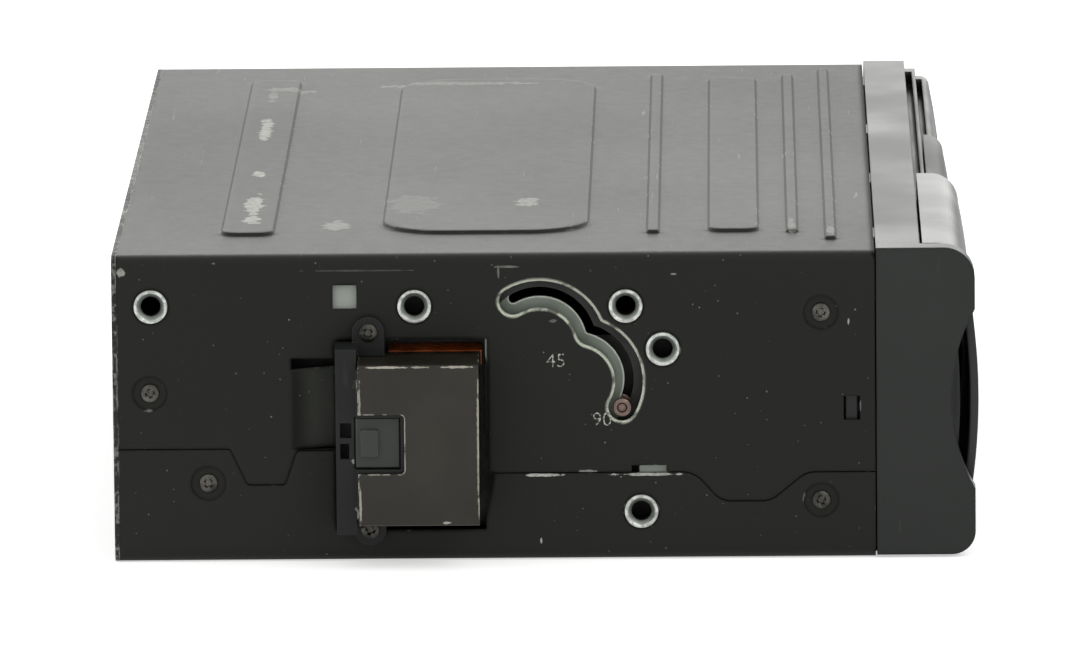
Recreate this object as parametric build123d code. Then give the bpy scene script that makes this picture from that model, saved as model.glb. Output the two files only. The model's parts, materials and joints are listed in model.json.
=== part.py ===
"""A six-disc magazine changer for a car's boot, with a two-panel sliding front door.

Places are given the way the product is measured on a bench: w runs right from the left wall's
outer face, s runs forward from the rear plate's outer face and z runs up from the underside.
The front faces -Y, and the origin is under the middle of everything that stands out.
"""
from build123d import *
from math import cos, radians, sin
import os

os.makedirs("parts", exist_ok=True)

# Case
CASE_W = 250.0
CASE_L = 160.0
CASE_H = 65.2
SHEET = 1.0
BEND_R = 2.6
BEAD_H = 0.6
REAR_T = 1.0
REAR_CORNER_R = 2.5
REAR_FLANGE_L = 5.0
SEAM_GAP = 0.25
SHEET_FIT = 0.1

# The cover's beads (s0, s1, w0, w1), and the windows in both side walls (s0, s1, z0, z1):
# a square one over the lift slide, a slit at the seam and a small one near the front
BEADS = [
    (22, 33.5, 25, 228), (56, 100, 26, 228), (112, 115, 25, 233), (125, 136, 26, 228),
    (141.5, 144.3, 25, 231), (149.6, 152.3, 16, 239),
]
SIDE_WINDOWS = [
    (46.4, 51.4, CASE_H - 11.4, CASE_H - 6.3), (108.8, 116.1, 18.75, 20.1), (153.4, 156.8, 29.5, 34.6),
]

# Seam between cover and chassis: corners (s, z) from the rear, and their radii
SEAM_LINE = [
    (-5, 24.0), (24.5, 24.0), (28.1, 16.3), (36.1, 16.3), (38.6, 23.6), (47.5, 23.6),
    (49, 18.5), (121.9, 18.5), (127.5, 12.2), (138.0, 12.2), (145.5, 18.3), (165, 18.3),
]
SEAM_RADII = [0, 1, 1, 1, 1, 0, 0, 6, 5, 5, 5, 0]

# Front bezel and its doors
BEZEL_GAP = 0.3
BEZEL_Z0 = 0.6
BEZEL_RISE = 0.8
STRIP_L = 9.2
CAP_W = 5.5
CAP_FRONT = 181.0
CAP_R_TOP = 6.5
CAP_R_BOTTOM = 5.0
SCOOP_Z0 = 14.5
SCOOP_Z1 = 52.9
SCOOP_DEPTH = 5.0
DOOR_FLAT = 179.1
DOOR_MID = 181.8
DOOR_R = 6.1
OUTER_SKIN = 1.8
INNER_SKIN = 1.3
DOOR_GAP = 0.4
OUTER_DOOR_W = 88.1
INNER_DOOR_W = 87.5
INNER_DOOR_END = 158.0
LIP_T = 0.7
LIP_GAP = 0.4
RAIL_T = 0.8
LIP_DROP = 3.0
GROOVE_SPARE = 0.7
RAIL_STOP = 5.0
BEZEL_POCKET_DEPTH = 13.7
BEZEL_WALL = 2.0
MOUTH_SIDE_GAP = 8.0
MOUTH_GAP = 0.9
MOUTH_FLOOR_GAP = 2.4
TAB_W = [24.0, 95.0, 158.0, 224.0]
TAB_WIDE = 8.0
TAB_T = 1.8
TAB_REACH = 7.0

# Side mounting bushes: ring, bore and the five places (s, z), the upper ones set from the case's top
RING_R = 3.6
MOUNT_BORE_R = 2.1
RING_PROUD = 0.5
RING_L = 5.5
RING_FIT = 0.05
RING_BEVEL = 0.35
MOUNT_PLACES = [
    (8.2, CASE_H - 10.6), (63.5, CASE_H - 10.9), (107.8, CASE_H - 11.1), (115.5, CASE_H - 20.3), (110.8, 10.3),
]

# Cover screws: head, pressed dimple and the four places (s, z)
HEAD_R = 2.15
HEAD_T = 0.7
SHANK_R = 1.2
SHANK_L = 4.0
DIMPLE_R = 3.7
DIMPLE_DEPTH = 0.7
SCREW_PLACES = [(7.8, CASE_H - 29.1), (19.85, 16.8), (148.7, CASE_H - 12.8), (148.6, 12.4)]

# Suspension selector: three notches about the spring's centre, joined by two lobes
SELECT_S = 84.2
SELECT_Z = CASE_H - 32.7
NOTCH_R = 22.7
LOBE_CENTRE_R = 14.4
SLOT_W = 2.0
WINDOW_EDGE = 1.9
BRACKET_W0 = 3.7
BRACKET_T = 1.0
PIN_HEAD_R = 1.9
PIN_NECK_R = 0.75
PIN_PROUD = 0.3
STUD_R = 1.5
RUN_FIT = 0.05
LEVER_T = 1.0
LEVER_BOSS_R = 3.0
SPRING_R = 1.8
SPRING_WIRE_R = 0.3
SPRING_TURNS = 6
SPRING_POST_R = 1.0
BRACKET_HEADROOM = 2.7

# Connector module on the left side
PORT_S0 = 46.6
PORT_S1 = 78.7
PORT_Z0 = 6.6
PORT_Z1 = 47.3
SHIELD_PROUD = 12.0
SHIELD_T = 0.6
SHIELD_S0 = 51.7
SHIELD_S1 = 77.0
SHIELD_Z0 = 9.7
SHIELD_Z1 = 43.9
SHIELD_RETURN = 17.6
CUTOUT_S1 = 61.4
CUTOUT_Z0 = 20.8
CUTOUT_Z1 = 33.4
COLUMN_PROUD = 9.5
COLUMN_S0 = 47.0
COLUMN_S1 = 51.4
HOUSING_DEEP = 9.0
PLUG_CAVITY = (-7.6, 5.0, COLUMN_S0 - 1, 59.0, 19.0, 36.0)
KEYWAY_S0 = 47.9
KEYWAYS = [(50.3, 28.1, 31.3), (49.8, 23.6, 26.9)]
KEYWAY_W = -7.0
LATCH_T = 1.3
LATCH_W1 = -8.7
LATCH_FIT = 0.3
EAR_S = 53.8
EAR_Z = [49.0, 7.0]
EAR_R = 3.4
EAR_T = 1.4
FILM_T = 0.3
FILM_GAP = 0.15
FILM_LAP = 1.0
FILM_LEG = 3.0
LANCE_S0 = 37.5
LANCE_S1 = 46.7
LANCE_Z0 = 23.95
LANCE_Z1 = 43.4
RAMP_H = 17.0
RAMP_DEEP = 4.2

# Magazine and trays
MAG_W0 = 106.0
MAG_S0 = 31.6
MAG_Z0 = 17.0
MAG_WALL = 1.8
MAG_SIDE = 4.0
MAG_FRONT = 10.5
TRAYS = 6
TRAY_PITCH = 5.2
TRAY_T = 1.8
TRAY_GAP = 0.2
TRAY_SIZE = 122.0
TRAY_SIDE_GAP = 0.4
TRAY_HUB_R = 20.0
TRAY_SLOT_W = 38.0
SHELF_T = 1.2
SHELF_REACH = 2.2
DISC_R = 60.0
CRADLE_T = 1.35
CRADLE_WALL = 1.5

# Eject button, its link and its spring
BUTTON_W0 = 239.0
BUTTON_W1 = 245.0
BUTTON_S0 = 166.0
BUTTON_S1 = 176.4
BUTTON_Z0 = 28.0
BUTTON_Z1 = 38.6
BUTTON_GAP = 0.3
BUTTON_SPRING_L = 12.6
BUTTON_SPRING_R = 2.2
LINK_S0 = 60.0
LINK_T = 1.6
LINK_H = 6.0
LINK_DROP = 4.5

# Suspended mechanism: frame, slide, rods and deck
FRAME_W0 = 11.0
FRAME_S0 = 8.0
FRAME_WALL_S0 = 34.0
FRAME_WALL_S1 = 150.0
FRAME_Z0 = 5.5
FRAME_T = 1.2
FRAME_GAP = 0.3
FRAME_HEADROOM = 3.7
DAMPER_W = 22.0
DAMPER_S = 16.0
DAMPER_STEM_R = 1.5
CAM_T = 2.0
CAM_S0 = 42.0
CAM_S1 = 156.0
LIFT_DOWN = 26.0
LIFT_UP = 3.4
LIFT_PIN_R = 1.5
LIFT_PIN_Z = 36.5
LIFT_PIN_S = [60.0, 126.0]
LIFT_FLANGE = [20.0, 24.0, 3.5]
LIFT_ROD_R = 1.5
LIFT_ROD_OFFSET = 14.0
LIFT_ROD_S = [22.0, 162.0]
ROD_HEADROOM = 8.2
ROD_FOOT_R = 3.0
BUSH_R = 3.4
DECK_CENTRE_W = 79.0
DISC_S = 95.0
DECK_W0 = 15.4
DECK_W1 = 103.0
DECK_S1 = 158.0
DECK_Z = 39.2
DECK_T = 1.2
SPINDLE_R = 10.8
SPINDLE_DROP = 5.6
SEAT_RISE = 2.1
SEAT_SECTION = [(15.0, 0.0), (15.0, 1.3), (7.4, 1.3), (6.6, 3.3)]

# Pickup carriage: its travel, two guide rods and the lead screw
PICKUP_S = 71.0
PICKUP_HALF = 9.0
PICKUP_TRAVEL = 32.0
CARRIAGE_Z = 37.0
CARRIAGE_DROP = 2.4
CARRIAGE_RISE = 4.2
GUIDE_R = 1.25
GUIDE_SPAN = 13.0
SCREW_R = 1.0
SCREW_OFFSET = 6.5
CROSS_T = [2.5, 2.0]

# Disc clamp
ARM_PIVOT_S = 22.5
ARM_PIVOT_Z = 52.0
ARM_T = 1.2
ARM_RISE = 2.8
ARM_EAR_T = 1.3
ARM_SIDE_GAP = 0.5
CLAMPER_R = 14.0
CLAMPER_NECK_R = 4.0
CLAMPER_Z = 50.0

# Drives and circuit board
MOTOR_W = 30.0
MOTOR_R = 6.0
BOARD_W0 = 32.0
BOARD_S0 = 12.0
BOARD_Z = 2.4
BOARD_T = 1.6
CHIPS = [(60, 40, 14, 14), (100, 60, 20, 14), (150, 50, 12, 22), (90, 110, 18, 18), (180, 110, 9, 16)]

LEFT_PROUD = SHIELD_PROUD
RIGHT_PROUD = RING_PROUD
CASE_X = (LEFT_PROUD - RIGHT_PROUD) / 2
LEFT = CASE_X - CASE_W / 2
DEPTH = DOOR_MID
CEILING = CASE_H - SHEET
BEZEL_Z1 = CASE_H + BEZEL_RISE
MID_Z = (BEZEL_Z0 + BEZEL_Z1) / 2
BEZEL_S0 = CASE_L + BEZEL_GAP
STRIP_S1 = BEZEL_S0 + STRIP_L
OUTER_DOOR_W0 = CAP_W + DOOR_GAP
INNER_DOOR_W0 = INNER_DOOR_END - INNER_DOOR_W
RAIL_END = CASE_W - RAIL_STOP
SLOT_DEPTH = BRACKET_W0 + BRACKET_T
LEVER_W0 = SLOT_DEPTH + FRAME_GAP
SPRING_W = LEVER_W0 + LEVER_T + FRAME_GAP + SPRING_R + SPRING_WIRE_R
TRAY_Z = [MAG_Z0 + MAG_WALL + TRAY_GAP + TRAY_PITCH * n for n in range(TRAYS)]
MAG_Z1 = TRAY_Z[-1] + TRAY_PITCH - SHELF_T - TRAY_GAP + MAG_WALL
TRAY_S0 = DISC_S - TRAY_SIZE / 2
TRAY_S1 = DISC_S + TRAY_SIZE / 2
MAG_CENTRE_W = MAG_W0 + MAG_SIDE + TRAY_SIZE / 2
MAG_W1 = MAG_CENTRE_W + TRAY_SIZE / 2 + MAG_SIDE
MAG_S1 = TRAY_S1 + MAG_FRONT
CRADLE_TOP = MAG_Z0 - 0.25
CRADLE_W1 = MAG_W1 + 0.3 + CRADLE_WALL
SPRING_SEAT_S = BUTTON_S0 - BUTTON_SPRING_L - 1
FRAME_W1 = CASE_W - FRAME_W0
FRAME_S1 = CASE_L - FRAME_S0
FRAME_FLOOR = FRAME_Z0 + FRAME_T
FRAME_TOP = CEILING - FRAME_HEADROOM
DAMPER_PLACES = [(w, s) for w in (DAMPER_W, CASE_W - DAMPER_W) for s in (DAMPER_S, CASE_L - DAMPER_S)]
CAM_W0 = FRAME_W0 + FRAME_T + 0.4
LIFT_ROD_W = DECK_CENTRE_W + LIFT_ROD_OFFSET
GUIDE_W = [DECK_CENTRE_W - GUIDE_SPAN, DECK_CENTRE_W + GUIDE_SPAN]
LEAD_W = GUIDE_W[0] - SCREW_OFFSET
OPEN_S0 = PICKUP_S - PICKUP_TRAVEL - PICKUP_HALF - 1.5
OPEN_S1 = PICKUP_S + PICKUP_HALF + 2
DECK_S0 = OPEN_S0 - CROSS_T[0]
CROSS_S1 = OPEN_S1 + CROSS_T[1]
ARM_HALF = LIFT_ROD_W - BUSH_R - ARM_EAR_T - ARM_SIDE_GAP - DECK_CENTRE_W
EAR_HALF = ARM_HALF + ARM_SIDE_GAP
ARM_TOP = ARM_PIVOT_Z + ARM_RISE


def x_at(w):
    """Row X of a place w mm right of the left wall's outer face."""
    return LEFT + w


def y_at(s):
    """Row Y of a place s mm forward of the rear plate's outer face."""
    return DEPTH / 2 - s


def block(w0, w1, s0, s1, z0, z1):
    """A box between two planes each way."""
    middle = Pos(x_at((w0 + w1) / 2), y_at((s0 + s1) / 2), (z0 + z1) / 2)
    return middle * Box(w1 - w0, s1 - s0, z1 - z0)


def rod_x(w0, w1, s, z, r):
    """A round bar along X."""
    return Pos(x_at((w0 + w1) / 2), y_at(s), z) * Rot(0, 90, 0) * Cylinder(r, w1 - w0)


def rod_y(w, s0, s1, z, r):
    """A round bar along Y."""
    return Pos(x_at(w), y_at((s0 + s1) / 2), z) * Rot(90, 0, 0) * Cylinder(r, s1 - s0)


def rod_z(w, s, z0, z1, r):
    """A round bar along Z."""
    return Pos(x_at(w), y_at(s), (z0 + z1) / 2) * Cylinder(r, z1 - z0)


def slab(face, w0, w1):
    """A flat plate parallel to the side walls, from a face drawn in (Y, Z)."""
    return extrude(Plane.YZ.offset(x_at(w0)) * face, amount=w1 - w0)


def outline(points, radii=None):
    """A closed face in (Y, Z) through (s, z) corners, rounded where radii are given."""
    corners = [(y_at(s), z) for s, z in points]
    face = make_face(Polyline(*corners, close=True))
    for (y, z), r in zip(corners, radii or []):
        if r:
            corner = face.vertices().sort_by_distance((y, z, 0))[0]
            face = fillet(corner, r)
    return face


def right_hand(shape):
    """The same thing on the right side of the case."""
    return mirror(shape, about=Plane.YZ.offset(CASE_X))


def coil(r, length, turns, wire_r):
    """A spring's helix along +Z from the origin, in square wire."""
    path = Helix(pitch=length / turns, height=length, radius=r)
    start = Plane(origin=path @ 0, z_dir=path % 0)
    return sweep(start * RegularPolygon(wire_r, 4), path=path, is_frenet=True)


def seam_region(lift=0.0):
    """Everything under the line where the cover meets the chassis."""
    points = [(s, z + lift) for s, z in SEAM_LINE]
    points += [(SEAM_LINE[-1][0], -5), (SEAM_LINE[0][0], -5)]
    return slab(outline(points, SEAM_RADII), -5, CASE_W + 5)


def case_tube():
    """The folded sheet all round, before it is parted at the seam."""
    length = CASE_L - REAR_T
    plane = Plane(origin=(CASE_X, y_at(REAR_T), CASE_H / 2), x_dir=(1, 0, 0), z_dir=(0, -1, 0))
    outer = RectangleRounded(CASE_W, CASE_H, BEND_R)
    inner = RectangleRounded(CASE_W - 2 * SHEET, CASE_H - 2 * SHEET, BEND_R - SHEET)
    return extrude(plane * (outer - inner), amount=length)


def lobe(number):
    """Ends, middle and pivot of one of the selector's lobes, as (s, z)."""
    def polar(r, angle):
        return SELECT_S + r * cos(radians(angle)), SELECT_Z + r * sin(radians(angle))

    start = 45.0 * number
    far = LOBE_CENTRE_R * cos(radians(22.5))
    rise = LOBE_CENTRE_R * sin(radians(22.5))
    radius = ((NOTCH_R - far) ** 2 + rise ** 2) ** 0.5
    middle = polar(LOBE_CENTRE_R + radius, start + 22.5)
    return polar(NOTCH_R, start), middle, polar(NOTCH_R, start + 45), polar(LOBE_CENTRE_R, start + 22.5)


def selector_track(width):
    """The selector's slot, or the window round it, as a face in (Y, Z)."""
    track = None
    for number in range(2):
        a, m, b, _ = lobe(number)
        arc = ThreePointArc(*[(y_at(s), z) for s, z in (a, m, b)])
        one = SlotArc(arc, width)
        track = one if track is None else track + one
    return track


def dimpled(wall, w_in):
    """Presses the four screw dimples into a left wall that they lie in."""
    for s, z in SCREW_PLACES:
        wall -= rod_x(-1, DIMPLE_DEPTH, s, z, DIMPLE_R)
        wall -= rod_x(-1, w_in + 2, s, z, SHANK_R + 0.2)
    return wall


def dimple_cups(keep):
    """The dimples' raised backs inside one wall."""
    cups = None
    for s, z in SCREW_PLACES:
        if keep(s, z):
            cup = rod_x(SHEET, SHEET + DIMPLE_DEPTH, s, z, DIMPLE_R + 0.6)
            cup -= rod_x(SHEET - 1, SHEET + 2, s, z, SHANK_R + 0.2)
            cups = cup if cups is None else cups + cup
    return cups


def side_cuts():
    """What both side walls have cut out of them, on the left."""
    cuts = slab(selector_track(SLOT_W + 2 * WINDOW_EDGE), -1, SHEET + 1)
    for s, z in MOUNT_PLACES:
        cuts += rod_x(-1, SHEET + 1, s, z, RING_R + RING_FIT)
    for window in SIDE_WINDOWS:
        cuts += block(-1, SHEET + 1, *window)
    return cuts


def port_cuts():
    """The connector's opening, with its slanted corner, and the lanced window behind it."""
    points = [
        (PORT_S0, PORT_Z0), (78.2, PORT_Z0), (78.2, 9.0), (79.9, 19.0), (PORT_S1, 19.0),
        (PORT_S1, PORT_Z1), (PORT_S0, PORT_Z1),
    ]
    cuts = slab(outline(points), -1, SHEET + 1)
    cuts += block(-1, SHEET + 1, LANCE_S0, LANCE_S1, LANCE_Z0, LANCE_Z1)
    for z in EAR_Z:
        cuts += rod_x(-1, SHEET + 1, EAR_S, z, SHANK_R + 0.2)
    return cuts


def plug_ramp():
    """The strip of side wall that is pushed inwards to make room for the plug."""
    far = LANCE_S1 - 0.1
    corners = [(0, LANCE_S0), (RAMP_DEEP, far), (RAMP_DEEP + SHEET, far), (SHEET, LANCE_S0)]
    face = make_face(Polyline(*[(x_at(w), y_at(s)) for w, s in corners], close=True))
    return extrude(Plane.XY.offset(LANCE_Z0 + 0.05) * face, amount=RAMP_H)


def cover_bead(s0, s1, w0, w1):
    """One raised bead on the cover, with sloping sides."""
    middle = Pos(x_at((w0 + w1) / 2), y_at((s0 + s1) / 2), CASE_H)
    pad = middle * RectangleRounded(w1 - w0, s1 - s0, min(s1 - s0, w1 - w0) * 0.3)
    return extrude(pad, amount=BEAD_H, taper=40)


def top_cover():
    """Folded cover with its beads and the upper halves of both side walls."""
    cover = case_tube()
    cuts = side_cuts()
    cover -= cuts
    cover -= right_hand(cuts)
    cover -= port_cuts()
    cover = dimpled(cover, SHEET)
    cover = right_hand(dimpled(right_hand(cover), SHEET))
    cups = dimple_cups(lambda s, z: z > 20)
    cover += [cups, right_hand(cups), plug_ramp()]
    for bead in BEADS:
        cover += cover_bead(*bead)
    return cover - seam_region(SEAM_GAP)


def bottom_chassis():
    """Pressed floor pan with the lower halves of both side walls."""
    pan = case_tube()
    cuts = side_cuts()
    pan -= cuts
    pan -= right_hand(cuts)
    pan -= port_cuts()
    pan = dimpled(pan, SHEET)
    pan = right_hand(dimpled(right_hand(pan), SHEET))
    cups = dimple_cups(lambda s, z: z < 20)
    pan += [cups, right_hand(cups)]
    return pan & seam_region()


def rear_plate():
    """Flat plate closing the back, with flanges bent forward inside the sheet."""
    plane = Plane(origin=(CASE_X, y_at(0), CASE_H / 2), x_dir=(1, 0, 0), z_dir=(0, -1, 0))
    plate = extrude(plane * RectangleRounded(CASE_W, CASE_H, REAR_CORNER_R), amount=REAR_T)
    inset = SHEET + SHEET_FIT
    for z in (inset, CASE_H - inset - SHEET):
        plate += block(20, CASE_W - 20, REAR_T, REAR_T + REAR_FLANGE_L, z, z + SHEET)
    return plate


def door_section(inset, back):
    """Closed face of the nested front envelope, inset mm inside its outer skin."""
    z0 = BEZEL_Z0 + inset
    z1 = BEZEL_Z1 - inset
    flat = DOOR_FLAT - inset
    mid = DOOR_MID - inset
    r = DOOR_R - inset
    top = Line((y_at(back), z1), (y_at(flat - r), z1))
    over = ThreePointArc(
        (y_at(flat - r), z1),
        (y_at(flat - r + r * sin(radians(45))), z1 - r + r * cos(radians(45))),
        (y_at(flat), z1 - r),
    )
    front = ThreePointArc((y_at(flat), z1 - r), (y_at(mid), (z0 + z1) / 2), (y_at(flat), z0 + r))
    under = ThreePointArc(
        (y_at(flat), z0 + r),
        (y_at(flat - r + r * sin(radians(45))), z0 + r - r * cos(radians(45))),
        (y_at(flat - r), z0),
    )
    bottom = Line((y_at(flat - r), z0), (y_at(back), z0))
    close = Line((y_at(back), z0), (y_at(back), z1))
    return make_face([*top.edges(), *over.edges(), *front.edges(), *under.edges(), *bottom.edges(),
                      *close.edges()])


OUTER_INSET = 0.0
INNER_INSET = OUTER_SKIN + DOOR_GAP
CORE_INSET = INNER_INSET + INNER_SKIN + DOOR_GAP
GROOVE_1 = STRIP_S1
RAIL_1 = GROOVE_1 + LIP_GAP + LIP_T + 0.2 + LIP_GAP
GROOVE_2 = RAIL_1 + RAIL_T
RAIL_2 = GROOVE_2 + 2 * LIP_GAP + LIP_T


def door(w0, width, inset, skin, back):
    """One door panel: a C-shaped skin with a lip at each end that hooks behind its rail."""
    shell = slab(door_section(inset, back), w0, w0 + width)
    hollow = door_section(inset + skin, back - 1)
    shell -= slab(hollow, w0 - 1, w0 + width + 1)
    drop = inset + skin + LIP_DROP
    for z0, z1 in ((BEZEL_Z1 - drop, BEZEL_Z1 - inset), (BEZEL_Z0 + inset, BEZEL_Z0 + drop)):
        shell += block(w0, w0 + width, back, back + LIP_T, z0, z1)
    return shell


def end_cap():
    """The moulding's left end, as deep as the doors, with a finger scoop in its front edge."""
    points = [
        (BEZEL_S0, BEZEL_Z0), (CAP_FRONT, BEZEL_Z0), (CAP_FRONT, BEZEL_Z1), (BEZEL_S0, BEZEL_Z1),
    ]
    cap = slab(outline(points, [0, CAP_R_BOTTOM, CAP_R_TOP, 0]), 0, CAP_W)
    half = (SCOOP_Z1 - SCOOP_Z0) / 2
    radius = (half ** 2 + SCOOP_DEPTH ** 2) / (2 * SCOOP_DEPTH)
    centre_s = CAP_FRONT - SCOOP_DEPTH + radius
    return cap - rod_x(-1, CAP_W + 1, centre_s, (SCOOP_Z0 + SCOOP_Z1) / 2, radius)


def front_bezel():
    """Moulded front: rim, left end cap, two door rails top and bottom, and the magazine's mouth."""
    rim = block(0, CASE_W, BEZEL_S0, STRIP_S1, BEZEL_Z0, BEZEL_Z1)
    rim = fillet(rim.edges().filter_by(Axis.Y), BEND_R)
    body = rim + end_cap()
    body += slab(door_section(CORE_INSET, BEZEL_S0), CAP_W, CASE_W)
    rail_top = OUTER_SKIN + DOOR_GAP
    high = BEZEL_Z1 - rail_top
    low = BEZEL_Z0 + rail_top
    body += block(CAP_W, CASE_W, STRIP_S1 - 1, RAIL_1 + RAIL_T, low, high)
    for start, end, inset in ((GROOVE_1, RAIL_1, OUTER_SKIN), (GROOVE_2, RAIL_2, CORE_INSET - DOOR_GAP)):
        depth = inset + LIP_DROP + GROOVE_SPARE
        body -= block(CAP_W, RAIL_END, start, end, BEZEL_Z1 - depth, BEZEL_Z1 + 1)
        body -= block(CAP_W, RAIL_END, start, end, BEZEL_Z0 - 1, BEZEL_Z0 + depth)
    floor = CORE_INSET - DOOR_GAP + LIP_DROP + GROOVE_SPARE + 1.4
    body -= block(
        CAP_W + BEZEL_WALL, CASE_W - BEZEL_WALL - 1, BEZEL_S0 - 1, BEZEL_S0 + BEZEL_POCKET_DEPTH,
        BEZEL_Z0 + floor, BEZEL_Z1 - floor,
    )
    rod_room = ROD_FOOT_R + 4.5
    body -= block(
        LIFT_ROD_W - rod_room, LIFT_ROD_W + rod_room, BEZEL_S0 - 1, LIFT_ROD_S[1] + 4.5, FRAME_Z0 - 2, MID_Z
    )
    body -= block(
        MAG_W0 - MOUTH_SIDE_GAP, MAG_W1 + MOUTH_GAP, BEZEL_S0, DEPTH, MAG_Z0 - MOUTH_FLOOR_GAP,
        MAG_Z1 + 2 * MOUTH_GAP,
    )
    body -= button_solid(BUTTON_GAP, 4)
    for w in TAB_W:
        body += block(
            w - TAB_WIDE / 2, w + TAB_WIDE / 2, CASE_L - TAB_REACH, BEZEL_S0 + 0.1,
            CEILING - 0.3 - TAB_T, CEILING - 0.3,
        )
    return body


def button_solid(grow, extend):
    """The eject button's block, or with grow and extend the hole it runs in."""
    return block(
        BUTTON_W0 - grow, BUTTON_W1 + grow, BUTTON_S0, BUTTON_S1 + extend, BUTTON_Z0 - grow, BUTTON_Z1 + grow
    )


def mount_nuts():
    """Five pressed-in bushes with screw holes and a chamfered rim."""
    nuts = []
    for s, z in MOUNT_PLACES:
        nut = rod_x(-RING_PROUD, RING_L, s, z, RING_R)
        nut = chamfer(nut.edges().filter_by(GeomType.CIRCLE).sort_by(Axis.X)[0], RING_BEVEL)
        nut -= rod_x(-RING_PROUD - 1, RING_L + 1, s, z, MOUNT_BORE_R)
        nuts.append(nut)
    return Compound(nuts)


def cover_screws():
    """Four pan-head screws seated in the dimples."""
    screws = []
    for s, z in SCREW_PLACES:
        screw = rod_x(DIMPLE_DEPTH - HEAD_T, DIMPLE_DEPTH, s, z, HEAD_R)
        screw += rod_x(DIMPLE_DEPTH, DIMPLE_DEPTH + SHANK_L, s, z, SHANK_R)
        screws.append(screw)
    return Compound(screws)


def side_bracket():
    """Plated bracket behind the wall: the selector's notched slot and the lever's stud."""
    low = SELECT_Z - 7
    high = CEILING - BRACKET_HEADROOM
    plate = block(BRACKET_W0, SLOT_DEPTH, SELECT_S - 6, SELECT_S + NOTCH_R + 11.3, low, high)
    for s, z in MOUNT_PLACES:
        plate -= rod_x(0, RING_L + 1, s, z, RING_R + 0.4)
    plate -= slab(selector_track(SLOT_W), 0, SLOT_DEPTH + 1)
    for z in (low, high - BRACKET_T):
        plate += block(SHEET, BRACKET_W0, SELECT_S - 4, SELECT_S + 8, z, z + BRACKET_T)
    _, _, _, (s, z) = lobe(0)
    return plate + rod_x(SLOT_DEPTH, LEVER_W0 + LEVER_T + 0.6, s, z, STUD_R)


def selector():
    """Selector pin: copper-coloured head, neck through the slot, and the lever it turns on."""
    (pin_s, pin_z), _, _, (s, z) = lobe(0)
    head = rod_x(-PIN_PROUD, 1.3, pin_s, pin_z, PIN_HEAD_R)
    head += rod_x(1.3, BRACKET_W0 - 0.3, pin_s, pin_z, STUD_R)
    head += rod_x(BRACKET_W0 - 0.3, LEVER_W0, pin_s, pin_z, PIN_NECK_R)
    span = ((pin_s - s) ** 2 + (pin_z - z) ** 2) ** 0.5
    bar = Line((y_at(s), z), (y_at(pin_s), pin_z))
    plate = make_face(Polyline((0, -2.6), (span, -1.6), (span, 1.6), (0, 2.6), close=True))
    tilt = bar.position_at(0), bar.tangent_at(0)
    plate = Plane(origin=tilt[0], x_dir=tilt[1]) * plate
    lever = slab(plate, LEVER_W0, LEVER_W0 + LEVER_T)
    lever += rod_x(LEVER_W0, LEVER_W0 + LEVER_T, s, z, LEVER_BOSS_R)
    lever += rod_x(LEVER_W0, LEVER_W0 + LEVER_T, pin_s, pin_z, PIN_HEAD_R)
    lever += rod_x(LEVER_W0 + LEVER_T, SPRING_W + 1, pin_s, pin_z, SPRING_POST_R)
    lever -= rod_x(LEVER_W0 - 1, LEVER_W0 + LEVER_T + 1, s, z, STUD_R + RUN_FIT)
    return head + lever


def suspension_spring():
    """Coil between the selector's post and the suspended frame's stud."""
    clear = SPRING_POST_R + SPRING_WIRE_R + 0.3
    length = NOTCH_R - 2 * clear
    spring = coil(SPRING_R, length, SPRING_TURNS, SPRING_WIRE_R)
    return Pos(x_at(SPRING_W), y_at(SELECT_S + clear), SELECT_Z) * Rot(90, 0, 0) * spring


def connector_housing():
    """Black plastic socket block: side column, body under the shield, and two screw ears."""
    column = block(-COLUMN_PROUD, SHEET + 1, COLUMN_S0, COLUMN_S1, PORT_Z0 + 0.8, PORT_Z1 - 0.4)
    body = block(
        -SHIELD_PROUD + SHIELD_T + 0.4, HOUSING_DEEP, COLUMN_S1, SHIELD_S1 - 1.4, SHIELD_Z0 + 1.2,
        SHIELD_Z1 - 1.2,
    )
    housing = column + body
    for z, inner in zip(EAR_Z, (EAR_Z[0] - 5, EAR_Z[1] + 5)):
        housing += rod_x(-EAR_T - 0.1, -0.1, EAR_S, z, EAR_R)
        housing += block(-EAR_T - 0.1, -0.1, EAR_S - EAR_R, EAR_S + EAR_R, min(z, inner), max(z, inner))
        housing -= rod_x(-3, 3, EAR_S, z, SHANK_R + 0.1)
    housing -= block(*PLUG_CAVITY)
    for end, low, high in KEYWAYS:
        housing -= block(-COLUMN_PROUD - 1, KEYWAY_W, KEYWAY_S0, end, low, high)
    latch_seat = block(
        -SHIELD_PROUD - 1, LATCH_W1 + 0.1, COLUMN_S1 - 0.5, CUTOUT_S1 - 0.8, CUTOUT_Z0 + 0.8, CUTOUT_Z1 - 0.8
    )
    return housing - latch_seat


def connector_latch():
    """Block in the guard's cut-out that holds the plug's catch."""
    outer = LATCH_W1 - LATCH_T
    s0 = COLUMN_S1 - 0.5 + LATCH_FIT
    s1 = CUTOUT_S1 - 0.8 - LATCH_FIT
    low = CUTOUT_Z0 + 0.8 + LATCH_FIT
    high = CUTOUT_Z1 - 0.8 - LATCH_FIT
    latch = block(outer, LATCH_W1, s0, s1, low, high)
    return latch + block(outer - 0.9, outer, s0 + 1, s1 - 4.4, low + 2.4, high - 2.3)


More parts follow.
